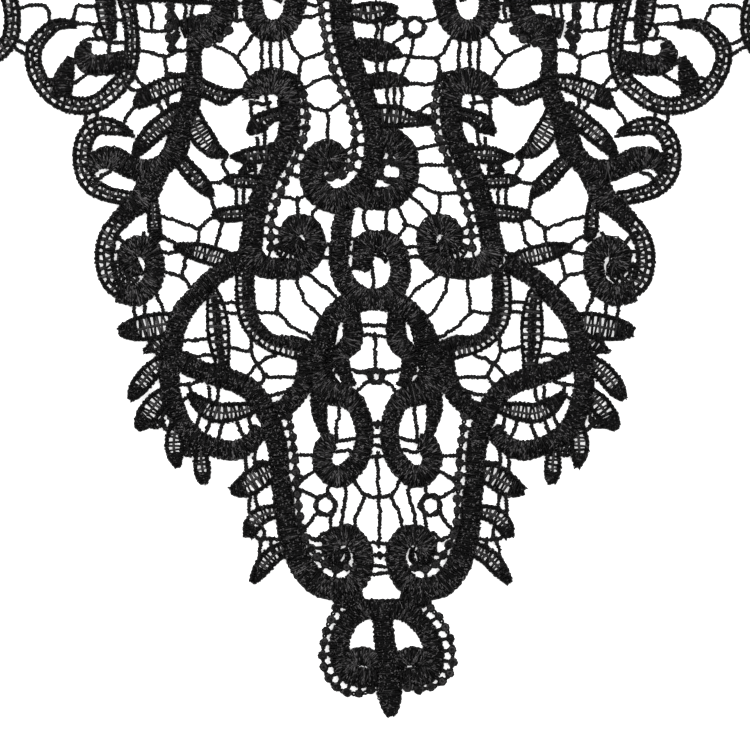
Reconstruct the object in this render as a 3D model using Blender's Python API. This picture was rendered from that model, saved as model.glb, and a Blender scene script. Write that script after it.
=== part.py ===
# Black guipure lace collar laid flat, tip of the bib at -Y, worked in millimetres and built in metres.
import math

import bmesh
import bpy
import numpy as np
from mathutils import Vector
from mathutils.geometry import delaunay_2d_cdt

# How the lace lies: sections of (height, shift of the centre line, extra reach at the wide edge).
LAY = (
    (0, 3.9, 0.0),
    (15, 2.5, 0.0),
    (28, 1.3, 0.0),
    (45, 0.4, 0.0),
    (60, 0.1, 0.0),
    (70, 0.0, 0.0),
    (85, -0.2, 0.5),
    (100, -0.8, 1.0),
    (115, -1.4, 1.6),
    (125, -1.8, 1.9),
    (132, -1.7, 2.1),
    (140, -1.55, 2.3),
    (148, -1.7, 2.3),
    (160, -2.0, 2.3),
    (175, -1.8, 2.5),
    (185, -1.8, 2.6),
    (215, 0.0, 0.0),
)
REACH_AT = 88.0

# Satin cords of the two halves, each as sections of (out, up, width).
PAIRED_CORDS = {
    "long_cord": (
        (50.5, 90, 4.6), (44.5, 87, 4.8), (38, 85, 5), (33, 83, 5), (29.3, 79.5, 4.8), (27, 75, 4.8),
        (25.4, 70, 4.8), (24.6, 65, 4.6), (24.3, 60, 4.4), (23.6, 55, 4.8), (23.1, 50, 4.8), (22, 45, 5.3),
        (20.6, 40.6, 5.6), (18.6, 36.6, 5.8), (15, 33.2, 5.8), (10.3, 32.3, 4.8), (6.3, 34, 5),
        (4.3, 38, 4.8),
        (4.4, 42.3, 4.8), (7.3, 45.7, 4.8), (11.2, 44.8, 4.8), (12, 41.6, 4.2), (9.5, 40.2, 3.4),
    ),
    "side_cord": (
        (33, 114, 4.6), (37, 112, 4.4), (41, 109.3, 4.4), (44.5, 105.5, 4.6), (48, 101.5, 4.8),
        (50, 97, 4.6),
        (51, 92.5, 5), (51.8, 87.5, 4.8), (51.7, 82.5, 4.6), (50.5, 77.5, 4.8), (48.5, 73, 4.8),
        (45, 69.6, 4.8),
        (40.5, 67.6, 4.4), (35.5, 66.9, 4.6), (31.5, 69, 4.2), (28.8, 72.3, 4),
    ),
    "inner_cord": (
        (1, 104.6, 5), (6.5, 103.3, 5), (10, 100.7, 4.8), (12.3, 97, 4.8), (13.8, 92.5, 5), (15, 88, 5),
        (14.5, 84, 5.2), (11.3, 81.3, 5.4), (8, 80.5, 5.2), (5.3, 78.5, 4.6), (3.8, 75, 4.4),
        (3.1, 71, 4.2),
        (3.7, 67, 4.4), (5.6, 63.2, 4.8), (9.3, 60.3, 5.2), (12.8, 61.8, 4.8), (13.8, 65.4, 4.6),
        (12.5, 68.4, 4.8), (10.6, 69.3, 3.6),
    ),
    "s_cord": (
        (30, 154.8, 3.5), (29.3, 157.5, 5), (26.3, 159, 6), (22.8, 159, 6), (20.3, 156, 5), (20, 151, 4.8),
        (20.6, 146, 5), (22.6, 141, 4.8), (25.3, 136, 4.8), (27.3, 131, 4.8), (28.8, 126, 5),
        (29.7, 121, 5.2),
        (30.2, 116, 5.6), (27.5, 113, 5.2), (23, 112.3, 5), (18.5, 112.6, 4.6), (15, 115, 4.6),
        (13.8, 119, 4.6),
        (15.2, 122.8, 4.8), (18.8, 123.2, 4.8), (20.8, 120.3, 4.4), (19, 117.8, 3.6), (16.8, 118.8, 3.4),
    ),
    "top_ring": (
        (23, 216.5, 4.2), (23, 208, 4.6), (20.8, 200, 4.6), (17.8, 193, 4.8), (17.6, 184, 5),
        (18.8, 178, 5), (20.3, 174, 5), (23.5, 171.8, 5.2),
        (27, 172.5, 5), (29.3, 176, 5), (29.3, 181, 4.6), (26.5, 184, 4.2), (23.8, 182, 4),
        (24.3, 179.6, 4),
    ),
    "v_cord": (
        (57, 197.6, 3.8), (60, 193.4, 4.4), (64, 196.8, 4.8), (62, 203.2, 5), (55, 206.6, 4.8),
        (47, 203.6, 4.6),
        (40, 197.4, 4.8), (36.6, 190.5, 5), (36.2, 184, 5), (36.7, 179, 5), (38.5, 174, 6),
        (42.3, 171.3, 6.4), (44.3, 167.7, 4), (44.4, 164, 3.6), (44.5, 159, 4.4), (45.5, 154, 4.8),
        (47.3, 149.5, 5),
        (49, 145, 4.8), (50.3, 141, 5), (53.5, 137.7, 5), (58, 136.8, 5.2), (62, 138.2, 5.4),
        (65.5, 139.9, 5.6),
        (68.4, 140, 5), (70.6, 138.6, 4), (71.6, 136.6, 2.6),
    ),
    "yoke_wave": (
        (21, 197, 4), (26.6, 192.6, 4.8), (30.6, 197, 5), (30, 204, 5), (34, 210.4, 5), (39.8, 210, 4.6),
        (40.6, 205.4, 3.8),
    ),
    "lobe_4_hook": ((92.6, 184.4, 4.6), (98.6, 182, 5), (103.2, 179, 4.8), (103.4, 174.4, 4.2),
        (100.2, 173.4, 2.2)),
    "neck_cord": (
        (0, 212, 4.8), (15, 214.5, 4.8), (30, 222.5, 4.8), (43, 236, 4.8), (52, 254, 4.8), (57, 277, 4.8),
        (57.5, 300, 4.8), (53.5, 322, 4.8), (46.5, 341.5, 4.8),
    ),
    "v_head": ((39, 173.5, 4.4), (43, 173.2, 5), (47.5, 172.2, 4.4)),
    "trunk": ((53, 138, 4.6), (55.8, 133.5, 6), (57.7, 129.8, 5.8), (61.1, 126.9, 4.8), (64, 124, 4.6)),
    "lower_eye": (
        (64.5, 106.6, 4.8), (60, 105.7, 5), (56.2, 107.9, 4.8), (54.8, 112.5, 4.8), (55.8, 116.7, 5),
        (59.3, 118, 5), (62, 115.5, 4.5), (60.8, 112.3, 4), (58.5, 112.8, 4),
    ),
    "lobe_hook": ((61, 164.5, 5), (66.5, 163.4, 5), (71.3, 163.3, 4.8), (73.2, 166, 4.2), (72.2, 169, 2.4)),
    "drop_arch": (
        (0, 27.2, 4.8), (5, 27, 4.8), (8.7, 24.3, 4.6), (11.2, 20, 4.6), (11.8, 15.5, 4.8),
        (10.5, 11.7, 4.6),
        (7, 10.2, 4.8), (3, 10.1, 4.6),
    ),
    "drop_fill": ((9.7, 12.6, 3.4), (8.9, 14.6, 4), (6.4, 15.5, 4.4), (3.9, 14.8, 4), (2.9, 12.8, 3.2)),
}

# Satin cords worked once, across the middle. Out is negative to the left.
MIDDLE_CORDS = {
    "main_cord": (
        (1, 207, 4.4), (-4.6, 200, 4.8), (-7.4, 193, 5), (-7.6, 186, 5), (-7.2, 178, 5.2), (-6.8, 172, 5.2),
        (-5.2, 166, 5.4), (-3.2, 160, 5.4), (-1.2, 154.5, 5.2), (0.6, 149, 5), (1.1, 143.5, 5),
        (0.3, 138, 4.8),
        (-1.8, 133.6, 5), (-5.2, 130.2, 6), (-9.6, 129.3, 5.8), (-13.8, 132.6, 6.2), (-14.6, 138, 5.4),
        (-12.3, 141.8, 5),
        (-9, 141.4, 4.8), (-8.2, 139.4, 4.4), (-10, 138.7, 4.2), (-12, 138.6, 3.8),
    ),
    "side_ring": (
        (1.5, 145.4, 5.2), (5.4, 144.2, 6), (8.4, 141.8, 5.4), (9.8, 138, 4.4), (9.2, 133.8, 4.6),
        (6.4, 130.6, 5.2),
        (2, 129.8, 5.6), (-1.8, 129.9, 5), (-3.2, 128, 3.2),
    ),
    "low_ring": (
        (-5.8, 127, 4), (-7, 123.5, 4.6), (-7.5, 119.5, 4.8), (-8.2, 115, 4.6), (-7.5, 110.5, 4.8),
        (-4.8, 106.4, 5), (0, 104.6, 5), (5, 106.4, 5), (7, 110.5, 4.8), (6.9, 115, 4.8), (5, 118.6, 5),
        (1.3, 119.3, 4.8), (-1.8, 118.3, 5), (-1.9, 115.3, 4.8),
    ),
    "spike": ((-0.2, 28, 4.4), (-0.2, 20, 4.9), (-0.1, 12, 5.8), (-0.2, 6, 5.7), (-0.3, 2.4, 4.2),
        (-0.4, 0.55, 1.8)),
}

# Open bands of two rails with mesh or ladder stitches between them.
PAIRED_BANDS = {
    "lobe_1": (
        (64, 186, 4.4), (62.6, 181, 4.4), (61.3, 176, 4.2), (60.6, 171, 4), (60.5, 165.5, 4.2),
        (62, 160.5, 4.6),
        (65.3, 156.8, 5), (69, 154.1, 4.8), (73, 153, 4.6), (77.5, 153.7, 4.8), (81.5, 156, 4.8),
        (84.5, 159.5, 4.6),
        (86.2, 164, 4.4), (85.8, 168, 4.4), (83.2, 171.3, 4), (79.8, 173.4, 3.2), (75.2, 173.3, 2.2),
    ),
    "lobe_2": (
        (61, 146.2, 2), (65.5, 147.7, 4.4), (70, 147.8, 4.8), (73, 144.5, 4.8), (73.8, 140.3, 4.8),
        (73, 136, 4.8),
        (70.5, 132.7, 4.6), (66.5, 130.9, 4.2), (61, 129.8, 4),
    ),
    "lobe_3": (
        (63, 125, 4.6), (66, 121.5, 4.8), (67.5, 117.3, 5), (67.4, 112.5, 5), (65.9, 108.6, 4.8),
        (62.4, 106, 4.6),
    ),
    "outer_strip": ((68.3, 186, 4.8), (67.8, 180, 5), (67.2, 175, 5), (66.2, 169.6, 3)),
    "fan_band": (
        (32, 112, 4.6), (32.2, 106, 5), (31.7, 100.8, 5), (29.6, 96.6, 4.8), (25.6, 93.6, 4.6),
        (21, 92.7, 5.8),
        (16.8, 91.4, 5.8),
    ),
    "low_strip": ((17.8, 91, 3.4), (18, 87, 3.6), (18.8, 82.5, 4.6), (21.2, 79.3, 4.8), (24.6, 76.2, 4)),
    "inner_strip": ((6, 102, 4.4), (5.4, 98, 4.6), (5.8, 94, 5.2), (8.7, 90.8, 4.4), (8.3, 87.8, 3.8),
        (6.6, 83, 2.6)),
    "cross_band": ((39.6, 180.2, 4.2), (45, 180.3, 4), (52, 180.7, 3.8), (60.4, 180.6, 3.6)),
    "trunk_strip": ((55.7, 130.5, 3.6), (54.8, 126, 3.6), (54.5, 122, 3.8), (53.3, 119.4, 2)),
    "lobe_4": (
        (86, 192.6, 4.4), (92.6, 189, 4.6), (93.2, 182, 4.4), (92, 175, 4.4), (92.8, 169.4, 4.4),
        (96.5, 165.7, 4.6),
        (102, 164.6, 4.8), (107.4, 167.2, 4.8), (110.8, 172.6, 4.6), (111.2, 179, 4.6), (108.4, 184.4, 4.4),
        (103.4, 187, 3.8), (99.6, 186, 2.4),
    ),
    "yoke_band": ((64, 184, 4.4), (66, 193, 4.4), (71.5, 200.5, 4.6), (79, 204.5, 4.6)),
    "yoke_strip": ((68.5, 184, 4.4), (73.5, 191, 4.4), (80, 193.4, 4.6), (87, 192.4, 4.4)),
}

# How the bands are worked, where it is not as a lobe with a row of round holes.
BAND_STYLES = {
    "fan_band": "beaded",
    "low_strip": "close",
    "inner_strip": "close",
    "trunk_strip": "mesh",
    "cross_band": "mesh",
    "outer_strip": "beaded",
}

# Leaves of mesh (slits in two rows), dense (small holes), ladder (slits), vein (a cord up the middle)
# or close stitches.
PAIRED_LEAVES = {
    "wing_leaf": ("mesh", ((49.5, 99, 5.2), (54.5, 98.1, 7), (59.3, 97.3, 6.4), (62.4, 96.9, 4.8),
        (64.2, 96.5, 2.6))),
    "side_leaf_1": ("mesh", ((53, 89.6, 3.6), (56.8, 86.2, 5.2), (60, 82.2, 4.6), (61.6, 79.8, 2))),
    "side_leaf_2": ("mesh", ((52.5, 82, 3.2), (55.4, 78.6, 5.4), (58, 74.8, 5.4), (59.8, 72.4, 2.4))),
    "side_leaf_3": ("mesh", ((49.7, 74, 4), (50.6, 69.5, 5), (50.5, 66, 4.6), (50, 62.8, 1.8))),
    "side_leaf_4": ("mesh", ((44.2, 67.5, 3), (43.9, 63.5, 4.4), (43.6, 60.4, 4), (43.6, 58.7, 2.2))),
    "low_leaf_1": ("mesh", ((25.8, 62, 4.6), (29.6, 60.2, 6.6), (33.4, 57.8, 5.8), (36.6, 56.8, 2.4))),
    "low_leaf_2": ("mesh", ((25, 51.8, 3.8), (29.3, 50.6, 4.8), (31.6, 48, 4.6), (32.6, 45.3, 2.8))),
    "low_leaf_3": ("mesh", ((23, 42.6, 4.2), (27, 40.4, 4.8), (29.8, 37.2, 4.4), (32.1, 34, 2))),
    "vein_leaf": ("vein", ((41.2, 109, 2.4), (39.8, 104, 4.6), (39.3, 98.5, 6), (39, 93.5, 5.6),
        (38.2, 86.6, 3.4))),
    "crescent": (
        "ladder", ((30.5, 77.6, 3.2), (35.5, 76.6, 5), (39.8, 76.3, 5.4), (43, 77.7, 4.8),
        (45.2, 79.5, 3.4), (46.8, 81.2, 1.8)),
    ),
    "grid_leaf": ("mesh", ((45.5, 159.3, 3.6), (50, 158.3, 4.8), (54, 156.8, 5.4), (57.3, 155, 5),
        (59.3, 153, 2.6))),
    "outer_leaf": ("dense", ((48, 151.7, 5), (52, 149, 5.4), (55.5, 146, 5.4), (58.3, 143, 4.2),
        (60.5, 139.9, 1.6))),
    "ladder_leaf_1": ("ladder", ((45.6, 152.5, 4.6), (44.3, 148.4, 5.8), (42, 144.6, 6), (39.7, 142, 4.4),
        (36.4, 140.7, 2))),
    "ladder_leaf_2": ("dense", ((49.3, 140.5, 4), (46.5, 137.5, 4.6), (43.7, 134.5, 4.8),
        (41.6, 132.3, 3.8), (40, 130.4, 1.8))),
    "inner_leaf_1": ("dense", ((24, 141, 4), (28, 140.8, 4.8), (31.5, 140.4, 4.2), (35.2, 140.4, 1.2))),
    "inner_leaf_2": ("mesh", ((28, 134, 3.6), (31.5, 134.2, 3.8), (35, 134.4, 3.4), (37, 134.5, 1.4))),
    "inner_leaf_3": ("dense", ((30.5, 126.5, 4.4), (34.5, 126, 4.4), (37.7, 125.8, 3.8),
        (39.6, 126.2, 1.6))),
    "ladder_leaf_3": ("ladder", ((34, 113.2, 5), (38.5, 115, 5.2), (43, 116.3, 5.2), (47, 117.3, 3.6),
        (49.6, 117.9, 1.6))),
    "blade_leaf": ("dense", ((45, 159, 5), (40.5, 156.7, 4.6), (37, 155.3, 4.8), (34, 156.2, 2.4),
        (30.8, 156.9, 1.2))),
    "hook_leaf": ("dense", ((21.5, 151.3, 3.6), (25, 150.4, 3.8), (27.8, 148.8, 5), (29.5, 147.4, 3.8),
        (30.7, 146.2, 1.6))),
    "wedge_leaf": ("close", ((78.6, 155.5, 4.4), (78, 160, 5), (76.5, 165.2, 1.6))),
    "yoke_leaf_1": ("close", ((53, 206, 3.6), (50.6, 213, 4.8), (46.5, 220, 4), (42.8, 229, 1.8))),
    "yoke_leaf_2": ("mesh", ((58, 205.6, 3.6), (61, 213, 5.2), (60, 221, 4.4), (56, 228.6, 1.8))),
    "yoke_leaf_3": ("mesh", ((30.4, 201, 3.6), (25.6, 205.4, 3.4), (23, 206.8, 1.8))),
    "yoke_leaf_4": ("ladder", ((17.8, 190, 3.6), (12, 191.4, 5), (7, 196, 4), (4.6, 201.6, 1.8))),
    "point_leaf": ("close", ((14.3, 82, 4), (14.4, 77.5, 4), (13.8, 73.5, 3), (12.6, 70, 1.8))),
}
MIDDLE_LEAVES = {
    "mid_leaf_1": ("dense", ((-4.5, 176.5, 4), (0, 176.3, 6), (4, 177, 4.4), (6.8, 177.6, 1.4))),
    "mid_leaf_2": ("close", ((-3, 168, 4.5), (1.5, 166.8, 5.6), (5, 166.6, 4.2), (8.2, 165.4, 1.2))),
    "mid_leaf_3": ("close", ((-1, 158.7, 4), (4, 159.5, 4), (7.5, 159.4, 3.2), (10, 158.4, 1.2))),
    "mid_leaf_4": ("dense", ((2, 150.6, 6), (7, 150.3, 6), (11, 149.6, 4), (16, 149.5, 2.6))),
}

# Nets of little holes that fill the hollows of the spirals.
PAIRED_NETS = {
    "curl_net": ((13.2, 39.6, 1.4), (11, 38.3, 1.6), (9.2, 38.4, 1.6), (7.9, 40.2, 1.6), (8.4, 42.3, 1.4)),
    "eye_net": ((59.6, 110.4, 2.4), (62, 108.8, 2.6), (64, 110.4, 2.2), (64.4, 112.8, 1.8)),
    "ring_net": ((16.6, 115.6, 2.2), (18.6, 115, 2.2), (21.6, 115.8, 3), (23.4, 117.4, 2)),
    "drop_join": ((12, 29, 2), (9.2, 29.5, 4), (4.6, 30, 2.6)),
    "joint_net": ((47.4, 147.4, 1.6), (46.8, 144.6, 2.4), (47.2, 141.8, 2.2), (48.2, 139.6, 1.6)),
    "leaf_net": ((29.2, 137.4, 1.4), (31.2, 137.3, 2.6), (32.8, 136.6, 1.4)),
    "strip_net": ((9.6, 97.2, 1.2), (10.7, 93, 1.7), (11.3, 89.4, 1.7), (11.5, 86, 1.7), (10, 83.8, 1.8)),
    "wing_net": ((52.2, 95.8, 2), (54.4, 93.6, 3.4), (56.4, 92.4, 2.6), (58, 91.6, 1.4)),
    "shoulder_net": ((19.4, 160.4, 1.4), (17.8, 158.6, 2.2), (16.7, 156.6, 1.6)),
    "side_net_low": ((48.8, 67.2, 1.6), (47.2, 66.2, 2.2), (45.8, 66.4, 1.6)),
    "side_net": ((53.6, 74.6, 1.6), (54.6, 73.4, 2.2), (56.6, 73, 1.6)),
}

MIDDLE_NETS = {
    "low_ring_net": ((0.2, 116.2, 1.8), (2.4, 115.8, 1.8), (3.6, 114.2, 1.2)),
    "leaf_foot_net": ((3.4, 173.6, 1.6), (5.4, 174, 2), (7, 175.4, 1.4)),
}

# Bars of twisted thread, each a chain of (out, up).
PAIRED_BARS = (
    ((0, 43.8), (3, 43.6)), ((0, 40.8), (2.8, 40.8)), ((0, 38), (2.6, 38.1)), ((0, 36.2), (3, 36.3)),
    ((0, 55.2), (2, 55.4), (3.8, 56.2), (5.6, 58.8)), ((3, 55.6), (4.7, 52.5), (5.8, 49.5), (6, 47.5)),
    ((8, 58.4), (8, 55), (8.7, 52), (9.3, 49), (9.2, 47.5)), ((12, 58.5), (12.1, 55.3)),
    ((11, 54), (10.4, 53.2), (11.7, 50.6), (12, 47.5)), ((15, 51.4), (16.7, 49.4), (18.3, 47.3)),
    ((15.2, 54.9), (17, 56), (18.8, 56.8), (20, 57.6)), ((15.6, 61.8), (18, 60.3), (19.6, 58.6)),
    ((18.2, 60.2), (20.4, 60)), ((15.4, 65.6), (20.2, 65.6)), ((13, 44), (16.3, 44.8), (18.8, 46)),
    ((14, 46.2), (15.6, 44.7)), ((5, 69.8), (7.5, 69.5), (10, 69)), ((9.8, 66.6), (7.2, 67), (5, 66.4)),
    ((9.8, 80), (9.4, 76), (10, 72.5), (9.8, 69.8)),
    ((0, 73.4), (2.2, 73.4)), ((0, 70.4), (1.6, 70.2)), ((0, 68.1), (2.4, 68.2)),
    ((0, 65.3), (2.6, 65.6)), ((0.2, 86.8), (1.6, 87), (3.2, 86.5), (6.4, 87.2)),
    ((1.5, 84), (3, 83.6), (5, 81.6)),
    ((2.6, 86.4), (1.4, 85.3)), ((0, 98.1), (2.2, 98.1), (3.6, 97.6)), ((0, 95.6), (3.2, 95.5)),
    ((3, 86.4), (4.8, 86.6)), ((5.6, 83.6), (8, 82.7)), ((8.2, 84.8), (9, 82.6)), ((9.6, 86.6), (11, 86)),
    ((8.6, 104.4), (11.5, 107.5), (14, 109.2), (16.6, 111.3)),
    ((12.6, 99.6), (15.5, 102.3), (17.8, 106.2), (19, 110.6)),
    ((23.4, 110.6), (23.8, 106), (24.1, 101.3)), ((16, 95.2), (21.3, 98.3), (24.1, 101.2), (29.5, 101.4)),
    ((18.4, 85.2), (24, 85.2), (27.6, 85.4), (29.4, 88.4)),
    ((25.3, 90.6), (27.4, 90), (29.4, 88.5), (31.4, 91.8)),
    ((31, 95.6), (31.4, 92), (34.5, 92.3), (36.6, 92.8)), ((27.9, 85.8), (29.2, 83.6), (31.6, 82.4)),
    ((21.4, 82.3), (24.5, 81), (27.4, 80.6)), ((30, 88), (32.4, 85.6)),
    ((23, 79.3), (24.6, 78.9), (26, 78.6)),
    ((34.2, 103.7), (37.6, 103.8)), ((34.6, 101.2), (37, 101.3)), ((42.3, 94.8), (45, 94.7), (48, 94.4)),
    ((40.6, 90.5), (43, 90.8), (45.4, 90.3), (47, 91.2)), ((38.8, 87.4), (42, 87.6), (44.8, 89.2)),
    ((44.6, 84), (46.8, 83.4), (50, 83.4)), ((46.8, 83.4), (46.6, 81)), ((46.6, 80.6), (49, 79.2)),
    ((39.6, 82.8), (39.7, 80.4), (40.4, 78.6)),
    ((41.8, 82.4), (41.7, 79.4)),
    ((35, 74.8), (34.3, 72), (33.4, 70.2)), ((31.8, 75.2), (31.7, 72.8), (30.6, 71.6)),
    ((38.4, 74.4), (39.2, 71.5), (39.8, 69.4)),
    ((41.7, 75), (42.4, 72.6), (43, 71)), ((44, 76.4), (44.8, 74), (45.6, 72)), ((27.2, 63.9), (30.4, 64)),
    ((30.2, 67.6), (30.8, 65), (30.4, 62.2)), ((32.8, 65.4), (32.8, 62), (33.2, 60)),
    ((30.4, 55.6), (30.2, 52.4)),
    ((32, 55.4), (32.2, 53), (32, 50.8)), ((28.8, 47), (28.6, 45.4), (29.4, 44.2), (30.4, 45)),
    ((25, 44.6), (28.4, 44.8)),
    ((27, 44.6), (26.8, 42)), ((29.6, 44.6), (29.9, 41), (30.6, 38.6)),
    ((22.6, 170), (22.2, 166.6), (22.2, 161.5)), ((25, 170), (25, 166.5), (24.6, 161.5)),
    ((27.2, 170), (27.2, 166), (27, 161.5)),
    ((29.6, 170.5), (31.5, 167.6), (33.4, 165.2)), ((30.2, 160), (31.6, 162.4), (33.6, 165),
        (36.2, 166.7), (39, 168)),
    ((20.6, 170.6), (19, 167.4), (16.9, 164.8)), ((16.9, 164.8), (17.4, 162), (17.8, 160)),
    ((17.8, 160.6), (20.4, 161.4)),
    ((28.6, 144.6), (28.6, 142.6)), ((26.4, 147), (27, 143)), ((29.8, 153.8), (29.7, 150.4)),
    ((26, 155.8), (25.6, 151.8)),
    ((22.6, 155), (22.6, 151.6)), ((25.4, 153.8), (29.6, 153.9)), ((22.8, 143.6), (25, 143.4)),
    ((24.8, 142.6), (26.2, 138.4)),
    ((31.8, 131.6), (31.7, 128.2)), ((33.8, 132), (33.7, 128.2)), ((29.2, 139.6), (29.3, 135.8)),
    ((32, 138.4), (32.4, 136)),
    ((36.4, 140.6), (37.4, 138.4), (36.2, 136.4), (35.8, 134.8)),
    ((35.8, 134.2), (38, 133.8), (41.2, 133.9)),
    ((40.2, 130.8), (39.8, 128.8), (39.2, 126.6)), ((38.9, 125.4), (41.6, 123.9), (43.2, 122.4),
        (47, 123.5), (50, 124.8), (53.6, 125.3)),
    ((43.2, 122.4), (43.4, 118.6)), ((37.2, 124.4), (38, 121), (39.3, 117.2)),
    ((53.6, 120.6), (51, 119.6), (48.4, 118)),
    ((48.6, 116.8), (50.6, 116.3), (53.4, 116.3)), ((46.8, 115.4), (47.4, 112.4), (47.8, 110.2)),
    ((53.6, 112), (50.6, 111), (47.8, 110.2), (45, 106.8)), ((32.8, 116.6), (35, 116), (36.4, 116)),
    ((35.4, 112.8), (36.4, 116.4)), ((60.4, 104.4), (60.3, 99.6)), ((57.6, 104.4), (57.6, 100.6)),
    ((54.8, 107), (54, 104.4), (52.6, 101.4)),
    ((46.2, 160.8), (49.8, 160.8), (51.4, 160.6), (51.6, 163), (52, 165.2)),
    ((46, 167), (48.5, 166.8), (52, 165.3), (55, 166.2), (59, 166.8)),
    ((49, 171), (50, 168.6), (49.4, 167)), ((51.2, 159.8), (51.2, 161)),
    ((50.8, 171.8), (54.6, 171.7), (59, 172.6)),
    ((56.2, 157.8), (57.6, 158.2), (59.4, 160.2), (61.4, 161.4)),
    ((59, 157), (60.6, 157.2), (62.4, 158.6)), ((59.4, 153.4), (61.4, 151), (63, 148.2)),
    ((50.6, 156.2), (51.5, 154.4), (51, 152)), ((53.6, 154.6), (53.6, 153), (52.6, 151.4), (54.4, 149.4)),
    ((46.8, 153.6), (49.8, 153.4)),
    ((59.3, 140.6), (59.4, 138)), ((60.6, 145.4), (62, 145.8)), ((69.8, 150), (69.8, 152)),
    ((72.6, 148.8), (72.9, 151.4)),
    ((70.4, 141), (71.8, 141)), ((66.6, 136.4), (68.6, 135.6), (70.6, 133.4)),
    ((62.8, 118.6), (63.6, 119.9), (64.6, 120.4)), ((62.6, 116.7), (65.8, 116.5)),
    ((62.4, 113.5), (65.6, 113.4)), ((57.4, 121), (57.6, 119.6)), ((61.6, 106.8), (61.8, 111)),
    ((62.6, 168.8), (64.4, 168.8), (66.4, 169)), ((62.6, 166.4), (64.6, 165.8)),
    ((66.2, 169.4), (66.6, 166.8), (66, 165.6)),
    ((63, 174.4), (64.8, 174.6)), ((70.6, 173.4), (73, 173.6), (75.4, 173.4)),
    ((69.6, 178), (72.4, 177.8), (74.9, 177.9), (75.8, 175.2), (76.4, 174)),
    ((69.4, 169.8), (70.4, 171.6), (69.4, 173.2)), ((66.6, 169.6), (69.2, 169.8), (72, 169.6)),
    ((73.4, 162.6), (75.6, 164.2), (76.2, 162.6)), ((75, 159), (77, 158.6)),
    ((72.6, 160.4), (75.2, 158.8)), ((79.6, 160), (81.8, 159.6)),
    ((81.6, 172.6), (82.3, 176), (83.4, 178), (87, 178.2), (90.4, 177.2)),
    ((87, 168.4), (89.4, 169), (91, 170)), ((88, 165.4), (89.4, 166.6), (92.6, 168.2)),
    ((45, 177.6), (45.2, 175), (45.8, 173)), ((47, 178), (47, 173.6)),
    ((50, 177.6), (50.2, 175), (49.4, 172.4)),
    ((55.6, 95.6), (56.8, 92.8), (54.4, 91)), ((52.4, 77.6), (53.6, 74.4), (52.6, 72.2), (54.8, 74.2)),
    ((47.8, 68.4), (46.8, 66)),
    ((31.4, 174.4), (33.4, 174.2), (36.2, 175.4)), ((33.6, 180), (33.6, 174.6)),
    ((30.4, 179), (33.6, 178.4), (36, 178.6)),
)
YOKE_BARS = (
    ((31, 190), (36, 190.6)), ((31, 197), (36, 195), (39.5, 196.4)),
    ((31.5, 205), (37, 202), (43, 200.6)), ((23.2, 200), (30, 199.4)),
    ((17.6, 184), (9, 184.6), (6, 190), (9, 193.6)), ((9, 184.6), (4.6, 183.4), (-2, 184.4), (-6.4, 185)),
    ((17, 192), (19.4, 189.6), (26.6, 191), (31, 189.4)),
    ((22, 206), (12, 204.4), (9, 213.2)), ((12, 204.4), (12.6, 193)),
    ((23.4, 210), (30, 213), (28, 221.4)), ((30, 213), (34, 211.6)),
    ((36, 211.6), (35, 227)), ((41, 208), (46.4, 211), (48, 205.6)),
    ((46.4, 211), (40, 217), (38.4, 230)), ((40, 217), (35.4, 212)),
    ((54.4, 195), (48.4, 196), (40.4, 195.6)), ((48.4, 196), (47.6, 188), (37.4, 187.6)),
    ((47.6, 188), (54, 185), (63.4, 187)),
    ((54, 185), (50.6, 180.2), (37, 180)), ((64.6, 196), (67.4, 196.2)),
    ((62, 204.6), (68, 206.6), (73.6, 202.6)), ((68, 206.6), (66.6, 216.6), (61, 216.4)),
    ((66.6, 216.6), (68, 219.4)), ((80, 194.6), (79.4, 203)), ((72, 190), (69.6, 196.4)),
    ((84.4, 193.8), (85.6, 199.4), (89, 203.4)), ((79, 205.4), (84.4, 207), (89, 204)),
    ((57, 210), (53.4, 212)), ((52, 214.4), (59.6, 217.4)), ((68.6, 180), (72.4, 183.4), (77, 189.4)),
    ((55.6, 172.6), (56, 178), (61, 179)), ((5, 202), (7.4, 207.4), (6.6, 212.6)),
    ((73, 191.6), (82.4, 186.6), (91, 186)), ((98.6, 183), (99, 190.4), (98, 199.6)),
    ((108, 186.4), (109.4, 192.6), (106, 197)), ((94, 191), (92.4, 201)),
)
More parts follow.
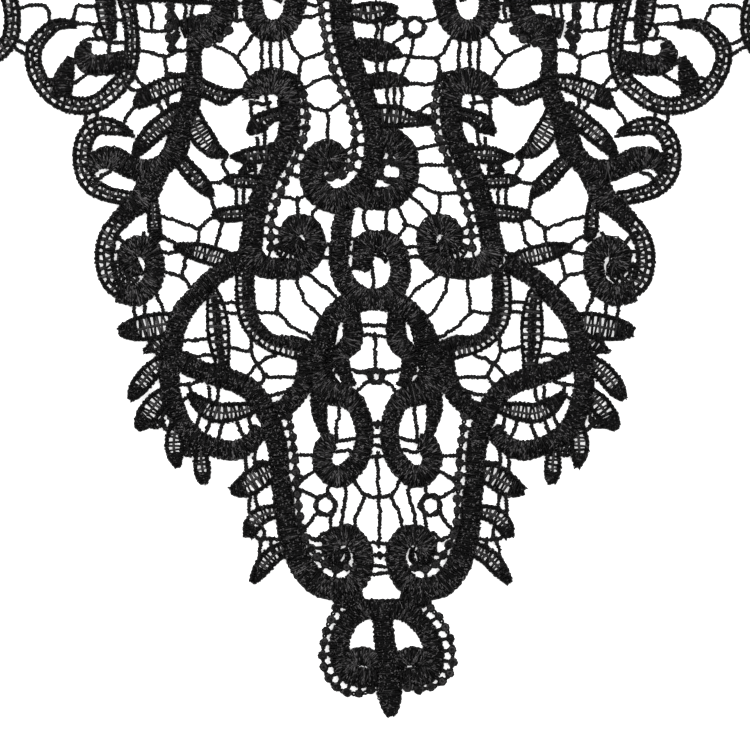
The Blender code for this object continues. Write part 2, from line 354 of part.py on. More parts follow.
MIDDLE_BARS = (
    ((0.4, 136), (2.8, 135), (5.8, 133.4)), ((1.2, 139.2), (4.2, 139), (7.2, 137.6)),
    ((4.3, 139), (4.6, 141.8)),
    ((-7, 135.8), (-7.4, 138)), ((-10, 135.2), (-12.6, 134.6)), ((-8.4, 135.6), (-9, 137.4)),
    ((0.2, 66), (0.2, 60), (0.3, 55), (0.4, 50), (0, 44), (0, 43.2)), ((0, 95.8), (0, 91), (0, 86.8)),
    ((0, 74), (0, 73)), ((0, 102.6), (0, 107.6), (0, 113)), ((0, 41), (0, 40.4)),
    ((-0.6, 128.4), (-1.6, 124.6), (-0.6, 121)), ((4.2, 128), (4, 124), (4.4, 120.6)),
    ((6.4, 128.6), (8.8, 123.6), (6.6, 120)),
    ((8.6, 123.4), (12.8, 122)), ((10, 130.6), (14.6, 126.4), (15, 124.6)),
    ((10.8, 133.2), (14, 132.4), (17.2, 131), (22.2, 131.6)),
    ((17.2, 131), (17, 125.4)), ((11.6, 138.1), (15, 138.3), (20.4, 138.2)),
    ((10.4, 142.4), (13, 142.6), (19, 143.8)),
    ((8.6, 117.5), (13, 117.6)), ((8.8, 115), (11, 115.4), (14, 115.8)),
    ((-12, 117.6), (-10, 118.4), (-9.4, 117.4)),
    ((-10, 115), (-12, 115.2), (-13.6, 115.4)), ((-4.6, 120), (-3.6, 119.8)), ((-6.4, 116.2), (-4, 116)),
    ((-4, 112.8), (-6, 112.4)),
    ((-14, 132), (-16, 130.8), (-18, 129.6), (-22.6, 130.4)), ((-18.2, 129.8), (-18, 125.2)),
    ((-12.4, 128.4), (-14.6, 125.4)),
    ((-16.6, 136), (-18.6, 135.4), (-20.4, 136)), ((-17, 142), (-18.4, 143.2)),
    ((-10.8, 144.6), (-10.7, 151.6)),
    ((-6.9, 154.4), (-9, 152.8), (-10.8, 151.8), (-13, 152.3), (-15.6, 153.4)),
    ((-8.6, 160.6), (-11, 160), (-14, 159), (-17.4, 157)),
    ((-11, 166.6), (-14, 165.3), (-16.9, 164.8)), ((-12.6, 176), (-15, 175.2), (-17.6, 175)),
    ((-13.2, 178.4), (-16.4, 178.4)),
    ((9.2, 165.4), (13.5, 165.1), (16.9, 164.8)), ((10, 165.2), (8.7, 162), (8.2, 160)),
    ((10.2, 165.6), (11, 170.4)),
    ((6.2, 168.4), (8, 170.2), (9.6, 171.2)), ((8.8, 174.4), (8.8, 170.8)),
    ((5.8, 177), (7, 175.2), (9.4, 174.4)), ((13.2, 172), (11.8, 170.4)),
    ((13.4, 174), (15, 174.4), (17.6, 175.4)), ((9.4, 158.7), (13, 158.5), (16.2, 158.8), (17.4, 160.6)),
    ((3.2, 170), (3.4, 174)), ((1.6, 170), (1.6, 173.6)),
    ((2, 161.4), (2.2, 164.4)), ((4.4, 161), (4.4, 164.2)), ((4.5, 157.8), (4.5, 153)),
    ((6.2, 158), (6.2, 153)), ((7.8, 158), (7.8, 153)),
    ((11, 151), (12.4, 151.6), (14.8, 153.2)), ((3, 139.2), (7.6, 138.8)), ((5, 141.6), (5.4, 138.6)),
    ((2.6, 134.8), (7.4, 134.4)),
)

# Small rings of thread: (out, up, radius).
PAIRED_RINGS = ((13.1, 53.2, 2.4),)
MIDDLE_RINGS = ((0, 85.3, 1.5), (11.3, 172.7, 2.3), (5.2, 136.7, 2.6))

# Rows of picot knots, each a route of (out, up) that they follow.
PAIRED_PICOTS = (
    ((22, 75.5), (20.8, 67), (20.3, 60), (19.9, 54), (19.2, 47), (17.1, 42.6), (14.6, 39.2), (11.4, 37.1),
        (8.4, 37.6)),
    ((50.9, 178), (51.1, 174.6), (51, 171), (50.2, 167.4)), ((35.6, 171.8), (37.8, 169.8), (41, 168.6)),
    ((16.5, 156), (15.8, 150), (16.8, 145), (18.9, 140), (20.8, 135.5), (22.5, 131.5), (23.8, 127.5),
        (24.9, 123.5), (25.1, 117.5)),
)
MIDDLE_PICOTS = (
    ((-12.4, 179.5), (-12, 175), (-11, 169.5), (-9.4, 163.2), (-7.4, 158), (-5.1, 152.5), (-3.9, 147),
        (-4.1, 141.5), (-4.9, 138), (-7, 135.8), (-10, 135.2)),
    ((12, 27.6), (13.9, 25.2), (15.7, 21.6), (16.4, 18), (16.3, 14.2), (15.1, 10.8), (12.8, 8.8),
        (10, 7.6), (7, 7.2), (4.4, 7.8)),
    ((-11.6, 27.4), (-13.1, 25), (-14.8, 21.4), (-15.7, 17.8), (-16, 14), (-15.3, 10.4), (-13.3, 7.6),
        (-10.6, 6.3), (-7.4, 6.1), (-4.8, 6.9)),
)

# The two arms that go on up beside the neck: middle line of (out, up, half width), and one repeat
# of the pattern in (along, across, width), where across goes from -1 at the neck to 1 outside.
ARM_LINE = (
    (72, 208, 34), (80.5, 229, 33), (86.5, 252, 31), (89, 276, 29.5), (88, 300, 28.5), (84, 322, 26.5),
        (77.5, 344, 25),
)
ARM_REPEATS = 4
REPEAT_LENGTH = 35
ARM_CORDS = {
    "arm_s": (
        (7, -1.05, 4.2), (3.4, -0.8, 4.6), (4.4, -0.46, 5), (10, -0.2, 5), (17.5, -0.08, 5), (24.5, 0, 5),
        (29, 0.2, 5),
        (30.4, 0.5, 5), (26, 0.74, 4.8), (19.8, 0.72, 4.8), (17.6, 0.5, 4.4), (20.4, 0.37, 3.8),
        (22.8, 0.5, 3.4),
    ),
}
ARM_BANDS = {
    "arm_lobe": (
        (2, 0.5, 3), (1.8, 0.76, 4.4), (5, 1.0, 4.6), (11, 1.13, 4.8), (18, 1.17, 4.8), (25, 1.13, 4.8),
        (31, 0.98, 4.6),
        (33.4, 0.76, 4.2), (32.8, 0.58, 3),
    ),
}
ARM_LEAVES = {
    "arm_leaf_1": ("ladder", ((12.6, -0.18, 4), (11, -0.42, 5.4), (12.4, -0.68, 4.6), (15, -0.92, 1.8))),
    "arm_leaf_2": ("mesh", ((22, -0.05, 4), (23.6, -0.34, 5.4), (22.6, -0.64, 4.6), (20, -0.9, 1.8))),
    "arm_leaf_3": ("close", ((28.4, 0.1, 4), (31.4, -0.15, 5), (31.6, -0.48, 4.4), (29.4, -0.8, 1.8))),
    "arm_leaf_4": ("mesh", ((8.6, -0.24, 4), (6.4, 0.1, 5.2), (7.4, 0.44, 4.6), (11.6, 0.74, 1.8))),
}
ARM_BARS = (
    ((15, -0.9), (15.4, -1.08)), ((20, -0.88), (19.6, -1.08)), ((29.4, -0.78), (29.6, -1.08)),
    ((11.4, -0.5), (6, -0.62), (3.6, -0.7)),
    ((14, -0.8), (20.6, -0.8)), ((24, -0.5), (28, -0.56), (31.4, -0.5)), ((12, 0.76), (12.4, 1.1)),
    ((12, 0.74), (17.6, 0.6)),
    ((19.4, 0.76), (19.4, 1.12)), ((26, 0.78), (26.6, 1.08)), ((30.6, 0.66), (33, 0.7)),
    ((7.6, 0.44), (2.4, 0.5)),
    ((8.4, 0.3), (13.6, 0.24), (17.6, 0.44)), ((13.6, 0.24), (14.6, -0.1)),
    ((2.2, 0.56), (0, 0.5), (-2.2, 0.6)), ((31.8, -0.3), (36, -0.3), (39.2, -0.4)),
    ((29.4, 0.2), (34, 0.14), (36.6, 0.5)), ((5.4, 0), (1.4, 0.1), (-1, 0.14)),
    ((31, -0.66), (36, -0.72), (38.4, -0.7)), ((22, 0.34), (23.6, 0.04)),
)
ARM_END = ((33.6, -1.1, 4.6), (35.6, -0.6, 4.6), (36.4, 0, 4.6), (35.8, 0.5, 4.6), (33.4, 0.86, 4.4))

# Thickness of the lace and of its raised cords, and the thread sizes.
WALL = 1.1
CORD_CREST = 2.1
BAR_WIDTH = 1.15
RING_WIDTH = 1.15
PICOT_WIDTH = 3.0
SEAM_GAP = 0.3

# Gaps wider than this are cut through, the largest first.
GAP_WIDTH = 4.0
MOST_GAPS = 290

# Grid that the outlines are found on, and how closely they are followed.
STEP = 0.5
FOLLOW = 0.4
CREST_PITCH = 4.6

# Seams between the pieces, as chains of (out, up), and the seams across the arms by distance along.
DROP_SEAM = ((-30, 29.9), (30, 29.9))
YOKE_SEAM = ((0, 182), (12.6, 182), (14.8, 188), (79, 188), (83.4, 190), (83.6, 196.4), (135, 190))
CENTRE_SEAM = ((3.2, 182), (3.2, 230))
ARM_SEAM_TURN = (83.6, 196.4)


def clear_scene():
    for item in list(bpy.data.objects):
        bpy.data.objects.remove(item, do_unlink=True)
    for mesh in list(bpy.data.meshes):
        bpy.data.meshes.remove(mesh)


def column(rows, at, number):
    return float(np.interp(at, [row[0] for row in rows], [row[number] for row in rows]))


def lay(out, up):
    """Turns a place in one half of the pattern into a place on the table."""
    shift = column(LAY, up, 1)
    reach = column(LAY, up, 2)
    return out + shift + reach * (out / REACH_AT) ** 2, up


def arm_middle(along, at):
    first = np.array(ARM_LINE[0][:2], float)
    last = np.array(ARM_LINE[-1][:2], float)
    if along < 0:
        way = np.array(ARM_LINE[1][:2], float) - first
        return first + way / np.hypot(*way) * along
    if along > at[-1]:
        way = last - np.array(ARM_LINE[-2][:2], float)
        return last + way / np.hypot(*way) * (along - at[-1])
    return np.array([
        np.interp(along, at, [row[0] for row in ARM_LINE]),
        np.interp(along, at, [row[1] for row in ARM_LINE]),
    ])


def arm_distances():
    spots = np.array([row[:2] for row in ARM_LINE], float)
    steps = np.hypot(*(spots[1:] - spots[:-1]).T)
    return np.concatenate(([0.0], np.cumsum(steps)))


def arm_point(along, across):
    """Turns a place in the arm pattern into (out, up)."""
    at = arm_distances()
    middle = arm_middle(along, at)
    way = arm_middle(along + 8, at) - arm_middle(along - 8, at)
    way = way / np.hypot(*way)
    half = float(np.interp(along, at, [row[2] for row in ARM_LINE]))
    return middle[0] + way[1] * across * half, middle[1] - way[0] * across * half


def smooth(rows, step):
    """Rounds a chain of sections into closely spaced ones."""
    spots = np.array(rows, float)
    last = len(spots) - 1
    out = []
    for number in range(last):
        before = spots[max(number - 1, 0)]
        start = spots[number]
        end = spots[number + 1]
        after = spots[min(number + 2, last)]
        count = max(1, int(round(math.hypot(end[0] - start[0], end[1] - start[1]) / step)))
        for part in range(count):
            t = part / count
            out.append(0.5 * (
                2 * start + (end - before) * t + (2 * before - 5 * start + 4 * end - after) * t * t
                + (3 * start - before - 3 * end + after) * t ** 3
            ))
    out.append(spots[-1])
    return np.array(out)


def placed(rows, side, step=1.4):
    """Sections of one half, rounded, and laid on the table: x, y, width."""
    line = smooth(rows, step)
    return np.array([(*lay(side * out, up), width) for out, up, width in line])


def with_width(chain, width):
    return [(out, up, width) for out, up in chain]


def ring_rows(out, up, radius):
    turns = np.linspace(0, 2 * math.pi, 13)
    return [(out + radius * math.cos(t), up + radius * math.sin(t), RING_WIDTH) for t in turns]


def arm_strokes(repeat):
    start = repeat * REPEAT_LENGTH
    rows_of = list(ARM_CORDS.values()) + list(ARM_BANDS.values()) + [rows for _, rows in ARM_LEAVES.values()]
    for rows in rows_of:
        turned = [(*arm_point(start + along, across), width) for along, across, width in rows]
        yield turned, rows in ARM_CORDS.values()
    for chain in ARM_BARS:
        if repeat == ARM_REPEATS - 1 and max(along for along, _ in chain) > REPEAT_LENGTH:
            continue
        yield [(*arm_point(start + along, across), BAR_WIDTH) for along, across in chain], False
    if repeat == ARM_REPEATS - 1:
        yield [(*arm_point(start + along, across), width) for along, across, width in ARM_END], True


def all_strokes():
    """Every stroke of the lace as (laid sections, is it a raised cord)."""
    strokes = []
    for side in (1, -1):
        strokes += [(placed(rows, side), True) for rows in PAIRED_CORDS.values()]
        strokes += [(placed(rows, side), False) for rows in PAIRED_BANDS.values()]
        strokes += [(placed(rows, side), False) for rows in PAIRED_NETS.values()]
        strokes += [(placed(rows, side), False) for _, rows in PAIRED_LEAVES.values()]
        for chain in PAIRED_BARS + YOKE_BARS:
            strokes.append((placed(with_width(chain, BAR_WIDTH), side), False))
        strokes += [(placed(ring_rows(*ring), side), False) for ring in PAIRED_RINGS]
        strokes += [(placed(with_width(chain, PICOT_WIDTH), side), False) for chain in PAIRED_PICOTS]
        for repeat in range(ARM_REPEATS):
            strokes += [(placed(rows, side), raised) for rows, raised in arm_strokes(repeat)]
    strokes += [(placed(rows, 1), True) for rows in MIDDLE_CORDS.values()]
    strokes += [(placed(rows, 1), False) for _, rows in MIDDLE_LEAVES.values()]
    strokes += [(placed(rows, 1), False) for rows in MIDDLE_NETS.values()]
    strokes += [(placed(with_width(chain, BAR_WIDTH), 1), False) for chain in MIDDLE_BARS]
    strokes += [(placed(ring_rows(*ring), 1), False) for ring in MIDDLE_RINGS]
    strokes += [(placed(with_width(chain, PICOT_WIDTH), 1), False) for chain in MIDDLE_PICOTS]
    return strokes


def grid_axes(strokes):
    spots = np.concatenate([line for line, _ in strokes])
    low = np.floor(spots[:, :2].min(axis=0)) - 5
    high = np.ceil(spots[:, :2].max(axis=0)) + 5
    return np.arange(low[0], high[0], STEP), np.arange(low[1], high[1], STEP)


def lace_field(strokes, xs, ys):
    """Distance to the edge of the lace, less than nothing inside it."""
    field = np.full((len(ys), len(xs)), 9.0)
    for line, _ in strokes:
        for start, end in zip(line[:-1], line[1:]):
            reach = max(start[2], end[2]) / 2 + 2.6
            left = np.searchsorted(xs, min(start[0], end[0]) - reach)
            right = np.searchsorted(xs, max(start[0], end[0]) + reach)
            low = np.searchsorted(ys, min(start[1], end[1]) - reach)
            high = np.searchsorted(ys, max(start[1], end[1]) + reach)
            x = xs[left:right][None, :]
            y = ys[low:high][:, None]
            way = end[:2] - start[:2]
            size = max(float(way @ way), 1e-9)
            t = np.clip(((x - start[0]) * way[0] + (y - start[1]) * way[1]) / size, 0, 1)
            away = np.hypot(x - start[0] - t * way[0], y - start[1] - t * way[1])
            away = away - (start[2] + (end[2] - start[2]) * t) / 2
            field[low:high, left:right] = np.minimum(field[low:high, left:right], away)
    return field


def chain_distance(chain, xs, ys):
    x = xs[None, :]
    y = ys[:, None]
    best = np.full((len(ys), len(xs)), 1e9)
    for start, end in zip(chain[:-1], chain[1:]):
        way = (end[0] - start[0], end[1] - start[1])
        t = np.clip(((x - start[0]) * way[0] + (y - start[1]) * way[1]) / (way[0] ** 2 + way[1] ** 2), 0, 1)
        best = np.minimum(best, np.hypot(x - start[0] - t * way[0], y - start[1] - t * way[1]))
    return best


def inside_chain(chain, x, y):
    """Is each place inside the closed chain, by counting crossings."""
    odd = np.zeros(np.broadcast(x, y).shape, bool)
    for start, end in zip(chain, list(chain[1:]) + [chain[0]]):
        if start[1] == end[1]:
            continue
        crosses = (start[1] > y) != (end[1] > y)
        at = (end[0] - start[0]) * (y - start[1]) / (end[1] - start[1]) + start[0]
        odd ^= crosses & (x < at)
    return odd


def regions():
    """Closed chains that part the lace into its pieces."""
    far = 400.0
    found = {}
    drop = [lay(out, up) for out, up in DROP_SEAM]
    found["drop"] = [drop[0], drop[1], (60, -far), (-60, -far)]
    yoke_right = [lay(out, up) for out, up in YOKE_SEAM]
    yoke_left = [lay(-out, up) for out, up in YOKE_SEAM]
    centre = [lay(out, up) for out, up in CENTRE_SEAM]
    top_edge = yoke_left[:0:-1] + yoke_right
    found["bib"] = top_edge + [(far, 0), (60, 0), drop[1], drop[0], (-60, 0), (-far, 0)]
    for side, name in ((1, "right"), (-1, "left")):
        seam = yoke_right if side > 0 else yoke_left
        arm_edges = [[lay(side * ARM_SEAM_TURN[0], ARM_SEAM_TURN[1])]]
        arm_edges[0] += [lay(side * out, up) for out, up in (arm_point(0, 0.42), arm_point(0, -1.45))]
        for repeat in range(1, ARM_REPEATS):
            ends = (arm_point(repeat * REPEAT_LENGTH, 1.6), arm_point(repeat * REPEAT_LENGTH, -1.6))
            arm_edges.append([lay(side * out, up) for out, up in ends])
        arm_edges.append([(side * far, far), (side * 2, far)])
        inner = [centre[0], centre[1]]
        found[name + "_yoke"] = inner + arm_edges[0][::-1] + seam[-3:0:-1]
        found[name + "_arm_1"] = arm_edges[0][::-1] + [seam[-1]] + arm_edges[1]
        for repeat in range(1, ARM_REPEATS):
            found[name + "_arm_" + str(repeat + 1)] = arm_edges[repeat][::-1] + arm_edges[repeat + 1]
    return found


# For each way the four corners of a cell can lie, the sides its outline goes between.
CELL_WAYS = {
    1: ((0, 3),), 2: ((1, 0),), 3: ((1, 3),), 4: ((2, 1),), 5: ((0, 3), (2, 1)), 6: ((2, 0),),
    7: ((2, 3),), 8: ((3, 2),), 9: ((0, 2),), 10: ((1, 0), (3, 2)), 11: ((1, 2),), 12: ((3, 1),),
    13: ((0, 1),), 14: ((3, 0),),
}


def outlines(field, xs, ys):
    """Closed outlines of the field's inside, kept on the left."""
    inside = field < 0
    codes = (
        inside[:-1, :-1] * 1 + inside[:-1, 1:] * 2 + inside[1:, 1:] * 4 + inside[1:, :-1] * 8
    )
    follow = {}
    spots = {}

    def crossing(row, col, other_row, other_col):
        key = (row, col, other_row, other_col)
        if key not in spots:
            a = field[row, col]
            b = field[other_row, other_col]
            t = min(max(a / (a - b), 0.06), 0.94)
            spots[key] = (
                xs[col] + (xs[other_col] - xs[col]) * t,
                ys[row] + (ys[other_row] - ys[row]) * t,
            )
        return key

    for row, col in zip(*np.nonzero((codes > 0) & (codes < 15))):
        row = int(row)
        col = int(col)
        sides = {
            0: (row, col, row, col + 1), 1: (row, col + 1, row + 1, col + 1),
            2: (row + 1, col, row + 1, col + 1), 3: (row, col, row + 1, col),
        }
        for start, end in CELL_WAYS[int(codes[row, col])]:
            follow[crossing(*sides[start])] = crossing(*sides[end])
    loops = []
    while follow:
        first, here = next(iter(follow.items()))
        loop = []
        key = first
        while key in follow:
            loop.append(spots[key])
            key = follow.pop(key)
        loops.append(np.array(loop))
    return loops


def loop_area(loop):
    x, y = loop[:, 0], loop[:, 1]
    return 0.5 * float(np.sum(x * np.roll(y, -1) - np.roll(x, -1) * y))


def loop_length(loop):
    way = np.roll(loop, -1, axis=0) - loop
    return float(np.hypot(way[:, 0], way[:, 1]).sum())


def thin_line(spots, keep, first, last, follow):
    """Keeps only the places needed to follow the line closely enough."""
    stack = [(first, last)]
    while stack:
        first, last = stack.pop()
        if last - first < 2:
            continue
        start = spots[first]
        way = spots[last] - start
        size = math.hypot(way[0], way[1])
        between = spots[first + 1:last] - start
        if size < 1e-9:
            away = np.hypot(between[:, 0], between[:, 1])
        else:
            away = np.abs(way[0] * between[:, 1] - way[1] * between[:, 0]) / size
        worst = int(np.argmax(away))
        if away[worst] > follow:
            middle = first + 1 + worst
            keep[middle] = True
            stack.append((first, middle))
            stack.append((middle, last))


def thin_loop(loop, follow):
    centre = loop.mean(axis=0)
    start = int(np.argmax(np.hypot(*(loop - centre).T)))
    turned = np.roll(loop, -start, axis=0)
    half = int(np.argmax(np.hypot(*(turned - turned[0]).T)))
    closed = np.vstack([turned, turned[:1]])
    keep = np.zeros(len(closed), bool)
    keep[[0, half]] = True
    thin_line(closed, keep, 0, half, follow)
    thin_line(closed, keep, half, len(closed) - 1, follow)
    kept = closed[:-1][keep[:-1]]
    far = np.hypot(*(np.roll(kept, -1, axis=0) - kept).T) > 0.25
    return kept[far]


def crossing_loops(loops):
    """Which loops cross themselves or another one."""
    starts = np.concatenate(loops)
    ends = np.concatenate([np.roll(loop, -1, axis=0) for loop in loops])
    owner = np.concatenate([np.full(len(loop), number) for number, loop in enumerate(loops)])
    way = ends - starts
    found = set()
    for number in range(len(starts)):
        p = starts[number]
        d = way[number]
        near = np.nonzero(
            (np.minimum(starts[:, 0], ends[:, 0]) <= max(p[0], p[0] + d[0]))
            & (np.maximum(starts[:, 0], ends[:, 0]) >= min(p[0], p[0] + d[0]))
            & (np.minimum(starts[:, 1], ends[:, 1]) <= max(p[1], p[1] + d[1]))
            & (np.maximum(starts[:, 1], ends[:, 1]) >= min(p[1], p[1] + d[1]))
        )[0]
        near = near[near != number]
        cross = d[0] * way[near, 1] - d[1] * way[near, 0]
        safe = np.where(np.abs(cross) < 1e-12, 1e-12, cross)
        gap = starts[near] - p
        t = (gap[:, 0] * way[near, 1] - gap[:, 1] * way[near, 0]) / safe
        u = (gap[:, 0] * d[1] - gap[:, 1] * d[0]) / safe
        hit = (t > 1e-6) & (t < 1 - 1e-6) & (u > 1e-6) & (u < 1 - 1e-6) & (np.abs(cross) > 1e-12)
        if hit.any():
            found.add(int(owner[number]))
            found.update(int(owner[other]) for other in near[hit])
    return found


def thin_loops(loops):
    follows = [FOLLOW] * len(loops)
    for _ in range(6):
        thinned = [thin_loop(loop, follow) for loop, follow in zip(loops, follows)]
        crossed = crossing_loops(thinned)
        if not crossed:
            break
        for number in crossed:
            follows[number] *= 0.55
    return [loop for loop in thinned if len(loop) >= 3]


def field_at(field, xs, ys, x, y):
    col = min(max(int((x - xs[0]) / STEP), 0), len(xs) - 2)
    row = min(max(int((y - ys[0]) / STEP), 0), len(ys) - 2)
    a = (x - xs[col]) / STEP
    b = (y - ys[row]) / STEP
    low = field[row, col] * (1 - a) + field[row, col + 1] * a
    high = field[row + 1, col] * (1 - a) + field[row + 1, col + 1] * a
    return low * (1 - b) + high * b


def crest_lines(strokes, field, xs, ys):
    """Runs of places down the middle of the raised cords, well inside the lace."""
    runs = []
    taken = []
    for line, raised in strokes:
        if not raised:
            continue
        run = []
        gone = CREST_PITCH
        before = line[0]
        for spot in line[1:-1]:
            gone += math.hypot(spot[0] - before[0], spot[1] - before[1])
            before = spot
            inside = field_at(field, xs, ys, spot[0], spot[1]) < -1.25
            clear = all(math.hypot(spot[0] - x, spot[1] - y) > 2.2 for x, y in taken)
            if not inside or not clear:
                if len(run) > 1:
                    runs.append(run)
                run = []
                gone = CREST_PITCH
                continue
            if gone >= CREST_PITCH:
                run.append((float(spot[0]), float(spot[1])))
                gone = 0.0
        if len(run) > 1:
            runs.append(run)
        taken += [spot for kept in runs for spot in kept if spot not in taken]
    return runs


def triangles(spots, edges, loops):
    """Triangles between the given edges that lie inside the loops."""
    corners = [Vector(spot) for spot in spots]
    points, _, faces, origins, _, _ = delaunay_2d_cdt(corners, edges, [], 0, 1e-6, True)
    if len(points) != len(spots):
        print("joined or added places:", len(points) - len(spots))
    number_of = [origin[0] if origin else None for origin in origins]
    middles = np.array([[sum(points[n][axis] for n in face) / 3 for axis in (0, 1)] for face in faces])
    odd = np.zeros(len(faces), bool)
    for loop in loops:
        odd ^= inside_loop(loop, middles)
    return points, [face for face, keep in zip(faces, odd) if keep], number_of


def inside_loop(loop, places):
    low = loop.min(axis=0)
    high = loop.max(axis=0)
    near = np.all((places >= low) & (places <= high), axis=1)
    odd = np.zeros(len(places), bool)
    if not near.any():
        return odd
    x = places[near, 0]
    y = places[near, 1]
    found = np.zeros(len(x), bool)
    for start, end in zip(loop, np.roll(loop, -1, axis=0)):
        crosses = (start[1] > y) != (end[1] > y)
        if crosses.any():
            at = (end[0] - start[0]) * (y - start[1]) / (end[1] - start[1] + 1e-15) + start[0]
            found ^= crosses & (x < at)
    odd[near] = found
    return odd


def build_piece(name, loops, runs, collection, shift):
    """One closed body: plain underside, upright sides, cords raised on top."""
    spots = [tuple(map(float, spot)) for loop in loops for spot in loop]
    rim = len(spots)
    edges = []
    start = 0
    for loop in loops:
        count = len(loop)
        edges += [(start + n, start + (n + 1) % count) for n in range(count)]
        start += count
    below = triangles(spots, edges, loops)[1]
    crest_edges = []
    crest_spots = []
    for run in runs:
        first = rim + len(crest_spots)
        crest_spots += run
        crest_edges += [(first + n, first + n + 1) for n in range(len(run) - 1)]
    points, above, number_of = triangles(spots + crest_spots, edges + crest_edges, loops)
    mesh = bpy.data.meshes.new(name)
    body = bmesh.new()
    under = [body.verts.new(place(spot, 0.0, shift)) for spot in spots]
    over = []
    for number, point in enumerate(points):
        origin = number_of[number]
        height = WALL if origin is not None and origin < rim else CORD_CREST
        over.append(body.verts.new(place(point, height, shift)))
    index_of = {number_of[n]: n for n in range(len(points)) if number_of[n] is not None}
    for face in below:
        body.faces.new([under[n] for n in reversed(face)])
    for face in above:
        body.faces.new([over[n] for n in face])
    for a, b in edges:
        body.faces.new([under[a], under[b], over[index_of[b]], over[index_of[a]]])
    bmesh.ops.triangulate(body, faces=body.faces[:])
    body.to_mesh(mesh)
    body.free()
    item = bpy.data.objects.new(name, mesh)
    collection.objects.link(item)
    thread = bpy.data.materials.new(name + "_thread")
    thread.use_nodes = True
    shader = thread.node_tree.nodes["Principled BSDF"]
    shader.inputs["Base Color"].default_value = (0.012, 0.012, 0.013, 1.0)
    shader.inputs["Roughness"].default_value = 0.55
    item.data.materials.append(thread)
    return len(mesh.polygons)


def place(spot, height, shift):
    return ((spot[0] - shift[0]) / 1000, (spot[1] - shift[1]) / 1000, height / 1000)


def owner_of(hole, shells):
    spot = hole[:1]
    for number, shell in enumerate(shells):
        if inside_loop(shell, spot)[0]:
            return number
    return None


def main():
    clear_scene()
    collection = bpy.data.collections.new("lace_collar")
    bpy.context.scene.collection.children.link(collection)
    strokes = all_strokes()
    xs, ys = grid_axes(strokes)
    field = lace_field(strokes, xs, ys)
    pieces = {}
    gaps = []
    for name, chain in regions().items():
        beyond = chain_distance(list(chain) + [chain[0]], xs, ys)
        within = inside_chain(chain, xs[None, :], ys[:, None])
        part = np.maximum(field, np.where(within, -beyond, beyond) + SEAM_GAP / 2)
        loops = outlines(part, xs, ys)
        shells = sorted((loop for loop in loops if loop_area(loop) > 0), key=loop_area, reverse=True)
        for loose in shells[1:]:
            if loop_area(loose) > 2:
                print("loose in", name, np.round(loose.mean(axis=0), 1), round(loop_area(loose), 1))
        holes = [loop for loop in loops if loop_area(loop) < 0 and inside_loop(shells[0], loop[:1])[0]]
        wide = [
            loop for loop in holes
            if -2 * loop_area(loop) / loop_length(loop) * 2 > GAP_WIDTH * 0.62 and -loop_area(loop) > 12.6
        ]
        gaps += [(-loop_area(loop), name) for loop in wide]
        pieces[name] = [shells[0]] + sorted(wide, key=loop_area), part
    gaps.sort(reverse=True)
    least = gaps[min(MOST_GAPS, len(gaps)) - 1][0]
    every = np.concatenate([loops[0] for loops, _ in pieces.values()])
    low = every.min(axis=0)
    high = every.max(axis=0)
    shift = ((low[0] + high[0]) / 2, (low[1] + high[1]) / 2)
    total = 0
    for name, (loops, part) in pieces.items():
        kept = thin_loops([loops[0]] + [loop for loop in loops[1:] if -loop_area(loop) >= least])
        runs = crest_lines(strokes, part, xs, ys)
        count = build_piece(name, kept, runs, collection, shift)
        total += count
        print(name, "gaps", len(kept) - 1, "triangles", count)
    print("gaps over the width", len(gaps), "least", round(least, 1), "triangles", total)
    print("reach", low, high)


main()
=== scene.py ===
"""Black guipure lace collar, photographed close up: every cord, band, leaf, bar and knot in its own stitches."""
import math

import bmesh
import bpy
import numpy as np
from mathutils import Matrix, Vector


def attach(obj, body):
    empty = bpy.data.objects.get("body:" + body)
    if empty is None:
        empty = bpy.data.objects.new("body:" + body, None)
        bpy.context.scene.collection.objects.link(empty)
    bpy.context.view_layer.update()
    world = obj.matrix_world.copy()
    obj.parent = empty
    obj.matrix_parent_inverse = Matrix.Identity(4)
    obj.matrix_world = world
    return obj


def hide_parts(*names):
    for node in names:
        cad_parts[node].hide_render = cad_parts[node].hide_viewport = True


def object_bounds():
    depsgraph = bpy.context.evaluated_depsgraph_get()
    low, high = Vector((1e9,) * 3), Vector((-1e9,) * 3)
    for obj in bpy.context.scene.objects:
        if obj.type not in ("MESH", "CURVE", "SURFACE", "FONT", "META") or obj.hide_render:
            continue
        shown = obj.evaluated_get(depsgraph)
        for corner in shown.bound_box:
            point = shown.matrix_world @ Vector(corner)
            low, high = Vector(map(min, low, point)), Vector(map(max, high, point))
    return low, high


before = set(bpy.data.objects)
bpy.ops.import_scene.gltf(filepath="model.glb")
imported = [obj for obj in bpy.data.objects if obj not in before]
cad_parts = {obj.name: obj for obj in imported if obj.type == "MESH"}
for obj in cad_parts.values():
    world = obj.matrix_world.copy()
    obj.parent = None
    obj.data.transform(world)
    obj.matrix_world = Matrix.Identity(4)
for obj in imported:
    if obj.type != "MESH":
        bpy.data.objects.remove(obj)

CAD_BOX = [[float(number) for number in corner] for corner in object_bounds()]
rng = np.random.default_rng(11)

# How the lace lies: sections of (height, shift of the centre line, extra reach at the wide edge).
LAY = (
    (0, 3.9, 0.0),
    (15, 2.5, 0.0),
    (28, 1.3, 0.0),
    (45, 0.4, 0.0),
    (60, 0.1, 0.0),
    (70, 0.0, 0.0),
    (85, -0.2, 0.5),
    (100, -0.8, 1.0),
    (115, -1.4, 1.6),
    (125, -1.8, 1.9),
    (132, -1.7, 2.1),
    (140, -1.55, 2.3),
    (148, -1.7, 2.3),
    (160, -2.0, 2.3),
    (175, -1.8, 2.5),
    (185, -1.8, 2.6),
    (215, 0.0, 0.0),
)
REACH_AT = 88.0

